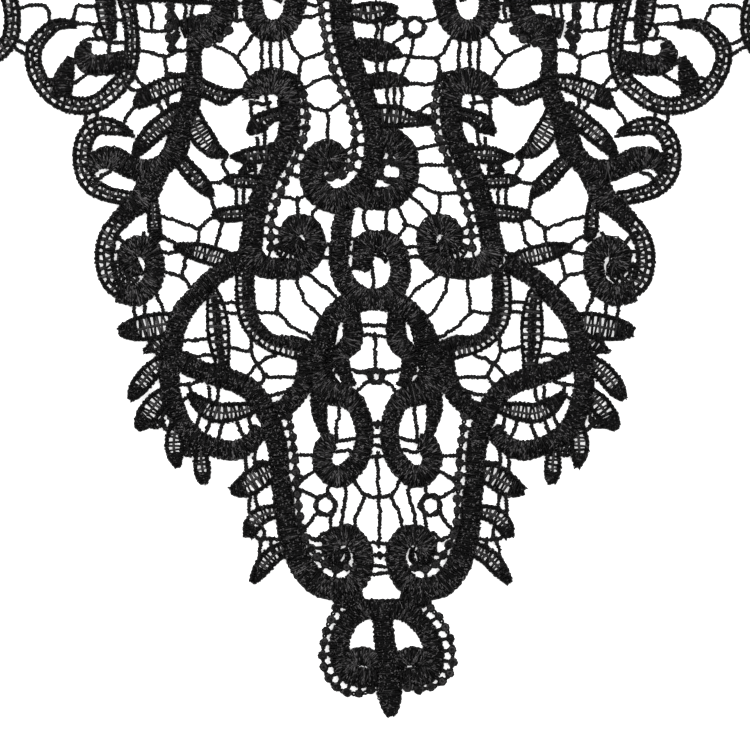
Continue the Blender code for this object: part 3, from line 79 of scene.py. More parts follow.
# Satin cords of the two halves, each as sections of (out, up, width).
PAIRED_CORDS = {
    "long_cord": (
        (50.5, 90, 4.6), (44.5, 87, 4.8), (38, 85, 5), (33, 83, 5), (29.3, 79.5, 4.8), (27, 75, 4.8),
        (25.4, 70, 4.8), (24.6, 65, 4.6), (24.3, 60, 4.4), (23.6, 55, 4.8), (23.1, 50, 4.8), (22, 45, 5.3),
        (20.6, 40.6, 5.6), (18.6, 36.6, 5.8), (15, 33.2, 5.8), (10.3, 32.3, 4.8), (6.3, 34, 5),
        (4.3, 38, 4.8),
        (4.4, 42.3, 4.8), (7.3, 45.7, 4.8), (11.2, 44.8, 4.8), (12, 41.6, 4.2), (9.5, 40.2, 3.4),
    ),
    "side_cord": (
        (33, 114, 4.6), (37, 112, 4.4), (41, 109.3, 4.4), (44.5, 105.5, 4.6), (48, 101.5, 4.8),
        (50, 97, 4.6),
        (51, 92.5, 5), (51.8, 87.5, 4.8), (51.7, 82.5, 4.6), (50.5, 77.5, 4.8), (48.5, 73, 4.8),
        (45, 69.6, 4.8),
        (40.5, 67.6, 4.4), (35.5, 66.9, 4.6), (31.5, 69, 4.2), (28.8, 72.3, 4),
    ),
    "inner_cord": (
        (1, 104.6, 5), (6.5, 103.3, 5), (10, 100.7, 4.8), (12.3, 97, 4.8), (13.8, 92.5, 5), (15, 88, 5),
        (14.5, 84, 5.2), (11.3, 81.3, 5.4), (8, 80.5, 5.2), (5.3, 78.5, 4.6), (3.8, 75, 4.4),
        (3.1, 71, 4.2),
        (3.7, 67, 4.4), (5.6, 63.2, 4.8), (9.3, 60.3, 5.2), (12.8, 61.8, 4.8), (13.8, 65.4, 4.6),
        (12.5, 68.4, 4.8), (10.6, 69.3, 3.6),
    ),
    "s_cord": (
        (30, 154.8, 3.5), (29.3, 157.5, 5), (26.3, 159, 6), (22.8, 159, 6), (20.3, 156, 5), (20, 151, 4.8),
        (20.6, 146, 5), (22.6, 141, 4.8), (25.3, 136, 4.8), (27.3, 131, 4.8), (28.8, 126, 5),
        (29.7, 121, 5.2),
        (30.2, 116, 5.6), (27.5, 113, 5.2), (23, 112.3, 5), (18.5, 112.6, 4.6), (15, 115, 4.6),
        (13.8, 119, 4.6),
        (15.2, 122.8, 4.8), (18.8, 123.2, 4.8), (20.8, 120.3, 4.4), (19, 117.8, 3.6), (16.8, 118.8, 3.4),
    ),
    "top_ring": (
        (23, 216.5, 4.2), (23, 208, 4.6), (20.8, 200, 4.6), (17.8, 193, 4.8), (17.6, 184, 5),
        (18.8, 178, 5), (20.3, 174, 5), (23.5, 171.8, 5.2),
        (27, 172.5, 5), (29.3, 176, 5), (29.3, 181, 4.6), (26.5, 184, 4.2), (23.8, 182, 4),
        (24.3, 179.6, 4),
    ),
    "v_cord": (
        (57, 197.6, 3.8), (60, 193.4, 4.4), (64, 196.8, 4.8), (62, 203.2, 5), (55, 206.6, 4.8),
        (47, 203.6, 4.6),
        (40, 197.4, 4.8), (36.6, 190.5, 5), (36.2, 184, 5), (36.7, 179, 5), (38.5, 174, 6),
        (42.3, 171.3, 6.4), (44.3, 167.7, 4), (44.4, 164, 3.6), (44.5, 159, 4.4), (45.5, 154, 4.8),
        (47.3, 149.5, 5),
        (49, 145, 4.8), (50.3, 141, 5), (53.5, 137.7, 5), (58, 136.8, 5.2), (62, 138.2, 5.4),
        (65.5, 139.9, 5.6),
        (68.4, 140, 5), (70.6, 138.6, 4), (71.6, 136.6, 2.6),
    ),
    "yoke_wave": (
        (21, 197, 4), (26.6, 192.6, 4.8), (30.6, 197, 5), (30, 204, 5), (34, 210.4, 5), (39.8, 210, 4.6),
        (40.6, 205.4, 3.8),
    ),
    "lobe_4_hook": ((92.6, 184.4, 4.6), (98.6, 182, 5), (103.2, 179, 4.8), (103.4, 174.4, 4.2),
        (100.2, 173.4, 2.2)),
    "neck_cord": (
        (0, 212, 4.8), (15, 214.5, 4.8), (30, 222.5, 4.8), (43, 236, 4.8), (52, 254, 4.8), (57, 277, 4.8),
        (57.5, 300, 4.8), (53.5, 322, 4.8), (46.5, 341.5, 4.8),
    ),
    "v_head": ((39, 173.5, 4.4), (43, 173.2, 5), (47.5, 172.2, 4.4)),
    "trunk": ((53, 138, 4.6), (55.8, 133.5, 6), (57.7, 129.8, 5.8), (61.1, 126.9, 4.8), (64, 124, 4.6)),
    "lower_eye": (
        (64.5, 106.6, 4.8), (60, 105.7, 5), (56.2, 107.9, 4.8), (54.8, 112.5, 4.8), (55.8, 116.7, 5),
        (59.3, 118, 5), (62, 115.5, 4.5), (60.8, 112.3, 4), (58.5, 112.8, 4),
    ),
    "lobe_hook": ((61, 164.5, 5), (66.5, 163.4, 5), (71.3, 163.3, 4.8), (73.2, 166, 4.2), (72.2, 169, 2.4)),
    "drop_arch": (
        (0, 27.2, 4.8), (5, 27, 4.8), (8.7, 24.3, 4.6), (11.2, 20, 4.6), (11.8, 15.5, 4.8),
        (10.5, 11.7, 4.6),
        (7, 10.2, 4.8), (3, 10.1, 4.6),
    ),
    "drop_fill": ((9.7, 12.6, 3.4), (8.9, 14.6, 4), (6.4, 15.5, 4.4), (3.9, 14.8, 4), (2.9, 12.8, 3.2)),
}

# Satin cords worked once, across the middle. Out is negative to the left.
MIDDLE_CORDS = {
    "main_cord": (
        (1, 207, 4.4), (-4.6, 200, 4.8), (-7.4, 193, 5), (-7.6, 186, 5), (-7.2, 178, 5.2), (-6.8, 172, 5.2),
        (-5.2, 166, 5.4), (-3.2, 160, 5.4), (-1.2, 154.5, 5.2), (0.6, 149, 5), (1.1, 143.5, 5),
        (0.3, 138, 4.8),
        (-1.8, 133.6, 5), (-5.2, 130.2, 6), (-9.6, 129.3, 5.8), (-13.8, 132.6, 6.2), (-14.6, 138, 5.4),
        (-12.3, 141.8, 5),
        (-9, 141.4, 4.8), (-8.2, 139.4, 4.4), (-10, 138.7, 4.2), (-12, 138.6, 3.8),
    ),
    "side_ring": (
        (1.5, 145.4, 5.2), (5.4, 144.2, 6), (8.4, 141.8, 5.4), (9.8, 138, 4.4), (9.2, 133.8, 4.6),
        (6.4, 130.6, 5.2),
        (2, 129.8, 5.6), (-1.8, 129.9, 5), (-3.2, 128, 3.2),
    ),
    "low_ring": (
        (-5.8, 127, 4), (-7, 123.5, 4.6), (-7.5, 119.5, 4.8), (-8.2, 115, 4.6), (-7.5, 110.5, 4.8),
        (-4.8, 106.4, 5), (0, 104.6, 5), (5, 106.4, 5), (7, 110.5, 4.8), (6.9, 115, 4.8), (5, 118.6, 5),
        (1.3, 119.3, 4.8), (-1.8, 118.3, 5), (-1.9, 115.3, 4.8),
    ),
    "spike": ((-0.2, 28, 4.4), (-0.2, 20, 4.9), (-0.1, 12, 5.8), (-0.2, 6, 5.7), (-0.3, 2.4, 4.2),
        (-0.4, 0.55, 1.8)),
}

# Open bands of two rails with mesh or ladder stitches between them.
PAIRED_BANDS = {
    "lobe_1": (
        (64, 186, 4.4), (62.6, 181, 4.4), (61.3, 176, 4.2), (60.6, 171, 4), (60.5, 165.5, 4.2),
        (62, 160.5, 4.6),
        (65.3, 156.8, 5), (69, 154.1, 4.8), (73, 153, 4.6), (77.5, 153.7, 4.8), (81.5, 156, 4.8),
        (84.5, 159.5, 4.6),
        (86.2, 164, 4.4), (85.8, 168, 4.4), (83.2, 171.3, 4), (79.8, 173.4, 3.2), (75.2, 173.3, 2.2),
    ),
    "lobe_2": (
        (61, 146.2, 2), (65.5, 147.7, 4.4), (70, 147.8, 4.8), (73, 144.5, 4.8), (73.8, 140.3, 4.8),
        (73, 136, 4.8),
        (70.5, 132.7, 4.6), (66.5, 130.9, 4.2), (61, 129.8, 4),
    ),
    "lobe_3": (
        (63, 125, 4.6), (66, 121.5, 4.8), (67.5, 117.3, 5), (67.4, 112.5, 5), (65.9, 108.6, 4.8),
        (62.4, 106, 4.6),
    ),
    "outer_strip": ((68.3, 186, 4.8), (67.8, 180, 5), (67.2, 175, 5), (66.2, 169.6, 3)),
    "fan_band": (
        (32, 112, 4.6), (32.2, 106, 5), (31.7, 100.8, 5), (29.6, 96.6, 4.8), (25.6, 93.6, 4.6),
        (21, 92.7, 5.8),
        (16.8, 91.4, 5.8),
    ),
    "low_strip": ((17.8, 91, 3.4), (18, 87, 3.6), (18.8, 82.5, 4.6), (21.2, 79.3, 4.8), (24.6, 76.2, 4)),
    "inner_strip": ((6, 102, 4.4), (5.4, 98, 4.6), (5.8, 94, 5.2), (8.7, 90.8, 4.4), (8.3, 87.8, 3.8),
        (6.6, 83, 2.6)),
    "cross_band": ((39.6, 180.2, 4.2), (45, 180.3, 4), (52, 180.7, 3.8), (60.4, 180.6, 3.6)),
    "trunk_strip": ((55.7, 130.5, 3.6), (54.8, 126, 3.6), (54.5, 122, 3.8), (53.3, 119.4, 2)),
    "lobe_4": (
        (86, 192.6, 4.4), (92.6, 189, 4.6), (93.2, 182, 4.4), (92, 175, 4.4), (92.8, 169.4, 4.4),
        (96.5, 165.7, 4.6),
        (102, 164.6, 4.8), (107.4, 167.2, 4.8), (110.8, 172.6, 4.6), (111.2, 179, 4.6), (108.4, 184.4, 4.4),
        (103.4, 187, 3.8), (99.6, 186, 2.4),
    ),
    "yoke_band": ((64, 184, 4.4), (66, 193, 4.4), (71.5, 200.5, 4.6), (79, 204.5, 4.6)),
    "yoke_strip": ((68.5, 184, 4.4), (73.5, 191, 4.4), (80, 193.4, 4.6), (87, 192.4, 4.4)),
}

# How the bands are worked, where it is not as a lobe with a row of round holes.
BAND_STYLES = {
    "fan_band": "beaded",
    "low_strip": "close",
    "inner_strip": "close",
    "trunk_strip": "mesh",
    "cross_band": "mesh",
    "outer_strip": "beaded",
}

# Leaves of mesh (slits in two rows), dense (small holes), ladder (slits), vein (a cord up the middle)
# or close stitches.
PAIRED_LEAVES = {
    "wing_leaf": ("mesh", ((49.5, 99, 5.2), (54.5, 98.1, 7), (59.3, 97.3, 6.4), (62.4, 96.9, 4.8),
        (64.2, 96.5, 2.6))),
    "side_leaf_1": ("mesh", ((53, 89.6, 3.6), (56.8, 86.2, 5.2), (60, 82.2, 4.6), (61.6, 79.8, 2))),
    "side_leaf_2": ("mesh", ((52.5, 82, 3.2), (55.4, 78.6, 5.4), (58, 74.8, 5.4), (59.8, 72.4, 2.4))),
    "side_leaf_3": ("mesh", ((49.7, 74, 4), (50.6, 69.5, 5), (50.5, 66, 4.6), (50, 62.8, 1.8))),
    "side_leaf_4": ("mesh", ((44.2, 67.5, 3), (43.9, 63.5, 4.4), (43.6, 60.4, 4), (43.6, 58.7, 2.2))),
    "low_leaf_1": ("mesh", ((25.8, 62, 4.6), (29.6, 60.2, 6.6), (33.4, 57.8, 5.8), (36.6, 56.8, 2.4))),
    "low_leaf_2": ("mesh", ((25, 51.8, 3.8), (29.3, 50.6, 4.8), (31.6, 48, 4.6), (32.6, 45.3, 2.8))),
    "low_leaf_3": ("mesh", ((23, 42.6, 4.2), (27, 40.4, 4.8), (29.8, 37.2, 4.4), (32.1, 34, 2))),
    "vein_leaf": ("vein", ((41.2, 109, 2.4), (39.8, 104, 4.6), (39.3, 98.5, 6), (39, 93.5, 5.6),
        (38.2, 86.6, 3.4))),
    "crescent": (
        "ladder", ((30.5, 77.6, 3.2), (35.5, 76.6, 5), (39.8, 76.3, 5.4), (43, 77.7, 4.8),
        (45.2, 79.5, 3.4), (46.8, 81.2, 1.8)),
    ),
    "grid_leaf": ("mesh", ((45.5, 159.3, 3.6), (50, 158.3, 4.8), (54, 156.8, 5.4), (57.3, 155, 5),
        (59.3, 153, 2.6))),
    "outer_leaf": ("dense", ((48, 151.7, 5), (52, 149, 5.4), (55.5, 146, 5.4), (58.3, 143, 4.2),
        (60.5, 139.9, 1.6))),
    "ladder_leaf_1": ("ladder", ((45.6, 152.5, 4.6), (44.3, 148.4, 5.8), (42, 144.6, 6), (39.7, 142, 4.4),
        (36.4, 140.7, 2))),
    "ladder_leaf_2": ("dense", ((49.3, 140.5, 4), (46.5, 137.5, 4.6), (43.7, 134.5, 4.8),
        (41.6, 132.3, 3.8), (40, 130.4, 1.8))),
    "inner_leaf_1": ("dense", ((24, 141, 4), (28, 140.8, 4.8), (31.5, 140.4, 4.2), (35.2, 140.4, 1.2))),
    "inner_leaf_2": ("mesh", ((28, 134, 3.6), (31.5, 134.2, 3.8), (35, 134.4, 3.4), (37, 134.5, 1.4))),
    "inner_leaf_3": ("dense", ((30.5, 126.5, 4.4), (34.5, 126, 4.4), (37.7, 125.8, 3.8),
        (39.6, 126.2, 1.6))),
    "ladder_leaf_3": ("ladder", ((34, 113.2, 5), (38.5, 115, 5.2), (43, 116.3, 5.2), (47, 117.3, 3.6),
        (49.6, 117.9, 1.6))),
    "blade_leaf": ("dense", ((45, 159, 5), (40.5, 156.7, 4.6), (37, 155.3, 4.8), (34, 156.2, 2.4),
        (30.8, 156.9, 1.2))),
    "hook_leaf": ("dense", ((21.5, 151.3, 3.6), (25, 150.4, 3.8), (27.8, 148.8, 5), (29.5, 147.4, 3.8),
        (30.7, 146.2, 1.6))),
    "wedge_leaf": ("close", ((78.6, 155.5, 4.4), (78, 160, 5), (76.5, 165.2, 1.6))),
    "yoke_leaf_1": ("close", ((53, 206, 3.6), (50.6, 213, 4.8), (46.5, 220, 4), (42.8, 229, 1.8))),
    "yoke_leaf_2": ("mesh", ((58, 205.6, 3.6), (61, 213, 5.2), (60, 221, 4.4), (56, 228.6, 1.8))),
    "yoke_leaf_3": ("mesh", ((30.4, 201, 3.6), (25.6, 205.4, 3.4), (23, 206.8, 1.8))),
    "yoke_leaf_4": ("ladder", ((17.8, 190, 3.6), (12, 191.4, 5), (7, 196, 4), (4.6, 201.6, 1.8))),
    "point_leaf": ("close", ((14.3, 82, 4), (14.4, 77.5, 4), (13.8, 73.5, 3), (12.6, 70, 1.8))),
}
MIDDLE_LEAVES = {
    "mid_leaf_1": ("dense", ((-4.5, 176.5, 4), (0, 176.3, 6), (4, 177, 4.4), (6.8, 177.6, 1.4))),
    "mid_leaf_2": ("close", ((-3, 168, 4.5), (1.5, 166.8, 5.6), (5, 166.6, 4.2), (8.2, 165.4, 1.2))),
    "mid_leaf_3": ("close", ((-1, 158.7, 4), (4, 159.5, 4), (7.5, 159.4, 3.2), (10, 158.4, 1.2))),
    "mid_leaf_4": ("dense", ((2, 150.6, 6), (7, 150.3, 6), (11, 149.6, 4), (16, 149.5, 2.6))),
}

# Nets of little holes that fill the hollows of the spirals.
PAIRED_NETS = {
    "curl_net": ((13.2, 39.6, 1.4), (11, 38.3, 1.6), (9.2, 38.4, 1.6), (7.9, 40.2, 1.6), (8.4, 42.3, 1.4)),
    "eye_net": ((59.6, 110.4, 2.4), (62, 108.8, 2.6), (64, 110.4, 2.2), (64.4, 112.8, 1.8)),
    "ring_net": ((16.6, 115.6, 2.2), (18.6, 115, 2.2), (21.6, 115.8, 3), (23.4, 117.4, 2)),
    "drop_join": ((12, 29, 2), (9.2, 29.5, 4), (4.6, 30, 2.6)),
    "joint_net": ((47.4, 147.4, 1.6), (46.8, 144.6, 2.4), (47.2, 141.8, 2.2), (48.2, 139.6, 1.6)),
    "leaf_net": ((29.2, 137.4, 1.4), (31.2, 137.3, 2.6), (32.8, 136.6, 1.4)),
    "strip_net": ((9.6, 97.2, 1.2), (10.7, 93, 1.7), (11.3, 89.4, 1.7), (11.5, 86, 1.7), (10, 83.8, 1.8)),
    "wing_net": ((52.2, 95.8, 2), (54.4, 93.6, 3.4), (56.4, 92.4, 2.6), (58, 91.6, 1.4)),
    "shoulder_net": ((19.4, 160.4, 1.4), (17.8, 158.6, 2.2), (16.7, 156.6, 1.6)),
    "side_net_low": ((48.8, 67.2, 1.6), (47.2, 66.2, 2.2), (45.8, 66.4, 1.6)),
    "side_net": ((53.6, 74.6, 1.6), (54.6, 73.4, 2.2), (56.6, 73, 1.6)),
}

MIDDLE_NETS = {
    "low_ring_net": ((0.2, 116.2, 1.8), (2.4, 115.8, 1.8), (3.6, 114.2, 1.2)),
    "leaf_foot_net": ((3.4, 173.6, 1.6), (5.4, 174, 2), (7, 175.4, 1.4)),
}

# Bars of twisted thread, each a chain of (out, up).
PAIRED_BARS = (
    ((0, 43.8), (3, 43.6)), ((0, 40.8), (2.8, 40.8)), ((0, 38), (2.6, 38.1)), ((0, 36.2), (3, 36.3)),
    ((0, 55.2), (2, 55.4), (3.8, 56.2), (5.6, 58.8)), ((3, 55.6), (4.7, 52.5), (5.8, 49.5), (6, 47.5)),
    ((8, 58.4), (8, 55), (8.7, 52), (9.3, 49), (9.2, 47.5)), ((12, 58.5), (12.1, 55.3)),
    ((11, 54), (10.4, 53.2), (11.7, 50.6), (12, 47.5)), ((15, 51.4), (16.7, 49.4), (18.3, 47.3)),
    ((15.2, 54.9), (17, 56), (18.8, 56.8), (20, 57.6)), ((15.6, 61.8), (18, 60.3), (19.6, 58.6)),
    ((18.2, 60.2), (20.4, 60)), ((15.4, 65.6), (20.2, 65.6)), ((13, 44), (16.3, 44.8), (18.8, 46)),
    ((14, 46.2), (15.6, 44.7)), ((5, 69.8), (7.5, 69.5), (10, 69)), ((9.8, 66.6), (7.2, 67), (5, 66.4)),
    ((9.8, 80), (9.4, 76), (10, 72.5), (9.8, 69.8)),
    ((0, 73.4), (2.2, 73.4)), ((0, 70.4), (1.6, 70.2)), ((0, 68.1), (2.4, 68.2)),
    ((0, 65.3), (2.6, 65.6)), ((0.2, 86.8), (1.6, 87), (3.2, 86.5), (6.4, 87.2)),
    ((1.5, 84), (3, 83.6), (5, 81.6)),
    ((2.6, 86.4), (1.4, 85.3)), ((0, 98.1), (2.2, 98.1), (3.6, 97.6)), ((0, 95.6), (3.2, 95.5)),
    ((3, 86.4), (4.8, 86.6)), ((5.6, 83.6), (8, 82.7)), ((8.2, 84.8), (9, 82.6)), ((9.6, 86.6), (11, 86)),
    ((8.6, 104.4), (11.5, 107.5), (14, 109.2), (16.6, 111.3)),
    ((12.6, 99.6), (15.5, 102.3), (17.8, 106.2), (19, 110.6)),
    ((23.4, 110.6), (23.8, 106), (24.1, 101.3)), ((16, 95.2), (21.3, 98.3), (24.1, 101.2), (29.5, 101.4)),
    ((18.4, 85.2), (24, 85.2), (27.6, 85.4), (29.4, 88.4)),
    ((25.3, 90.6), (27.4, 90), (29.4, 88.5), (31.4, 91.8)),
    ((31, 95.6), (31.4, 92), (34.5, 92.3), (36.6, 92.8)), ((27.9, 85.8), (29.2, 83.6), (31.6, 82.4)),
    ((21.4, 82.3), (24.5, 81), (27.4, 80.6)), ((30, 88), (32.4, 85.6)),
    ((23, 79.3), (24.6, 78.9), (26, 78.6)),
    ((34.2, 103.7), (37.6, 103.8)), ((34.6, 101.2), (37, 101.3)), ((42.3, 94.8), (45, 94.7), (48, 94.4)),
    ((40.6, 90.5), (43, 90.8), (45.4, 90.3), (47, 91.2)), ((38.8, 87.4), (42, 87.6), (44.8, 89.2)),
    ((44.6, 84), (46.8, 83.4), (50, 83.4)), ((46.8, 83.4), (46.6, 81)), ((46.6, 80.6), (49, 79.2)),
    ((39.6, 82.8), (39.7, 80.4), (40.4, 78.6)),
    ((41.8, 82.4), (41.7, 79.4)),
    ((35, 74.8), (34.3, 72), (33.4, 70.2)), ((31.8, 75.2), (31.7, 72.8), (30.6, 71.6)),
    ((38.4, 74.4), (39.2, 71.5), (39.8, 69.4)),
    ((41.7, 75), (42.4, 72.6), (43, 71)), ((44, 76.4), (44.8, 74), (45.6, 72)), ((27.2, 63.9), (30.4, 64)),
    ((30.2, 67.6), (30.8, 65), (30.4, 62.2)), ((32.8, 65.4), (32.8, 62), (33.2, 60)),
    ((30.4, 55.6), (30.2, 52.4)),
    ((32, 55.4), (32.2, 53), (32, 50.8)), ((28.8, 47), (28.6, 45.4), (29.4, 44.2), (30.4, 45)),
    ((25, 44.6), (28.4, 44.8)),
    ((27, 44.6), (26.8, 42)), ((29.6, 44.6), (29.9, 41), (30.6, 38.6)),
    ((22.6, 170), (22.2, 166.6), (22.2, 161.5)), ((25, 170), (25, 166.5), (24.6, 161.5)),
    ((27.2, 170), (27.2, 166), (27, 161.5)),
    ((29.6, 170.5), (31.5, 167.6), (33.4, 165.2)), ((30.2, 160), (31.6, 162.4), (33.6, 165),
        (36.2, 166.7), (39, 168)),
    ((20.6, 170.6), (19, 167.4), (16.9, 164.8)), ((16.9, 164.8), (17.4, 162), (17.8, 160)),
    ((17.8, 160.6), (20.4, 161.4)),
    ((28.6, 144.6), (28.6, 142.6)), ((26.4, 147), (27, 143)), ((29.8, 153.8), (29.7, 150.4)),
    ((26, 155.8), (25.6, 151.8)),
    ((22.6, 155), (22.6, 151.6)), ((25.4, 153.8), (29.6, 153.9)), ((22.8, 143.6), (25, 143.4)),
    ((24.8, 142.6), (26.2, 138.4)),
    ((31.8, 131.6), (31.7, 128.2)), ((33.8, 132), (33.7, 128.2)), ((29.2, 139.6), (29.3, 135.8)),
    ((32, 138.4), (32.4, 136)),
    ((36.4, 140.6), (37.4, 138.4), (36.2, 136.4), (35.8, 134.8)),
    ((35.8, 134.2), (38, 133.8), (41.2, 133.9)),
    ((40.2, 130.8), (39.8, 128.8), (39.2, 126.6)), ((38.9, 125.4), (41.6, 123.9), (43.2, 122.4),
        (47, 123.5), (50, 124.8), (53.6, 125.3)),
    ((43.2, 122.4), (43.4, 118.6)), ((37.2, 124.4), (38, 121), (39.3, 117.2)),
    ((53.6, 120.6), (51, 119.6), (48.4, 118)),
    ((48.6, 116.8), (50.6, 116.3), (53.4, 116.3)), ((46.8, 115.4), (47.4, 112.4), (47.8, 110.2)),
    ((53.6, 112), (50.6, 111), (47.8, 110.2), (45, 106.8)), ((32.8, 116.6), (35, 116), (36.4, 116)),
    ((35.4, 112.8), (36.4, 116.4)), ((60.4, 104.4), (60.3, 99.6)), ((57.6, 104.4), (57.6, 100.6)),
    ((54.8, 107), (54, 104.4), (52.6, 101.4)),
    ((46.2, 160.8), (49.8, 160.8), (51.4, 160.6), (51.6, 163), (52, 165.2)),
    ((46, 167), (48.5, 166.8), (52, 165.3), (55, 166.2), (59, 166.8)),
    ((49, 171), (50, 168.6), (49.4, 167)), ((51.2, 159.8), (51.2, 161)),
    ((50.8, 171.8), (54.6, 171.7), (59, 172.6)),
    ((56.2, 157.8), (57.6, 158.2), (59.4, 160.2), (61.4, 161.4)),
    ((59, 157), (60.6, 157.2), (62.4, 158.6)), ((59.4, 153.4), (61.4, 151), (63, 148.2)),
    ((50.6, 156.2), (51.5, 154.4), (51, 152)), ((53.6, 154.6), (53.6, 153), (52.6, 151.4), (54.4, 149.4)),
    ((46.8, 153.6), (49.8, 153.4)),
    ((59.3, 140.6), (59.4, 138)), ((60.6, 145.4), (62, 145.8)), ((69.8, 150), (69.8, 152)),
    ((72.6, 148.8), (72.9, 151.4)),
    ((70.4, 141), (71.8, 141)), ((66.6, 136.4), (68.6, 135.6), (70.6, 133.4)),
    ((62.8, 118.6), (63.6, 119.9), (64.6, 120.4)), ((62.6, 116.7), (65.8, 116.5)),
    ((62.4, 113.5), (65.6, 113.4)), ((57.4, 121), (57.6, 119.6)), ((61.6, 106.8), (61.8, 111)),
    ((62.6, 168.8), (64.4, 168.8), (66.4, 169)), ((62.6, 166.4), (64.6, 165.8)),
    ((66.2, 169.4), (66.6, 166.8), (66, 165.6)),
    ((63, 174.4), (64.8, 174.6)), ((70.6, 173.4), (73, 173.6), (75.4, 173.4)),
    ((69.6, 178), (72.4, 177.8), (74.9, 177.9), (75.8, 175.2), (76.4, 174)),
    ((69.4, 169.8), (70.4, 171.6), (69.4, 173.2)), ((66.6, 169.6), (69.2, 169.8), (72, 169.6)),
    ((73.4, 162.6), (75.6, 164.2), (76.2, 162.6)), ((75, 159), (77, 158.6)),
    ((72.6, 160.4), (75.2, 158.8)), ((79.6, 160), (81.8, 159.6)),
    ((81.6, 172.6), (82.3, 176), (83.4, 178), (87, 178.2), (90.4, 177.2)),
    ((87, 168.4), (89.4, 169), (91, 170)), ((88, 165.4), (89.4, 166.6), (92.6, 168.2)),
    ((45, 177.6), (45.2, 175), (45.8, 173)), ((47, 178), (47, 173.6)),
    ((50, 177.6), (50.2, 175), (49.4, 172.4)),
    ((55.6, 95.6), (56.8, 92.8), (54.4, 91)), ((52.4, 77.6), (53.6, 74.4), (52.6, 72.2), (54.8, 74.2)),
    ((47.8, 68.4), (46.8, 66)),
    ((31.4, 174.4), (33.4, 174.2), (36.2, 175.4)), ((33.6, 180), (33.6, 174.6)),
    ((30.4, 179), (33.6, 178.4), (36, 178.6)),
)
YOKE_BARS = (
    ((31, 190), (36, 190.6)), ((31, 197), (36, 195), (39.5, 196.4)),
    ((31.5, 205), (37, 202), (43, 200.6)), ((23.2, 200), (30, 199.4)),
    ((17.6, 184), (9, 184.6), (6, 190), (9, 193.6)), ((9, 184.6), (4.6, 183.4), (-2, 184.4), (-6.4, 185)),
    ((17, 192), (19.4, 189.6), (26.6, 191), (31, 189.4)),
    ((22, 206), (12, 204.4), (9, 213.2)), ((12, 204.4), (12.6, 193)),
    ((23.4, 210), (30, 213), (28, 221.4)), ((30, 213), (34, 211.6)),
    ((36, 211.6), (35, 227)), ((41, 208), (46.4, 211), (48, 205.6)),
    ((46.4, 211), (40, 217), (38.4, 230)), ((40, 217), (35.4, 212)),
    ((54.4, 195), (48.4, 196), (40.4, 195.6)), ((48.4, 196), (47.6, 188), (37.4, 187.6)),
    ((47.6, 188), (54, 185), (63.4, 187)),
    ((54, 185), (50.6, 180.2), (37, 180)), ((64.6, 196), (67.4, 196.2)),
    ((62, 204.6), (68, 206.6), (73.6, 202.6)), ((68, 206.6), (66.6, 216.6), (61, 216.4)),
    ((66.6, 216.6), (68, 219.4)), ((80, 194.6), (79.4, 203)), ((72, 190), (69.6, 196.4)),
    ((84.4, 193.8), (85.6, 199.4), (89, 203.4)), ((79, 205.4), (84.4, 207), (89, 204)),
    ((57, 210), (53.4, 212)), ((52, 214.4), (59.6, 217.4)), ((68.6, 180), (72.4, 183.4), (77, 189.4)),
    ((55.6, 172.6), (56, 178), (61, 179)), ((5, 202), (7.4, 207.4), (6.6, 212.6)),
    ((73, 191.6), (82.4, 186.6), (91, 186)), ((98.6, 183), (99, 190.4), (98, 199.6)),
    ((108, 186.4), (109.4, 192.6), (106, 197)), ((94, 191), (92.4, 201)),
)
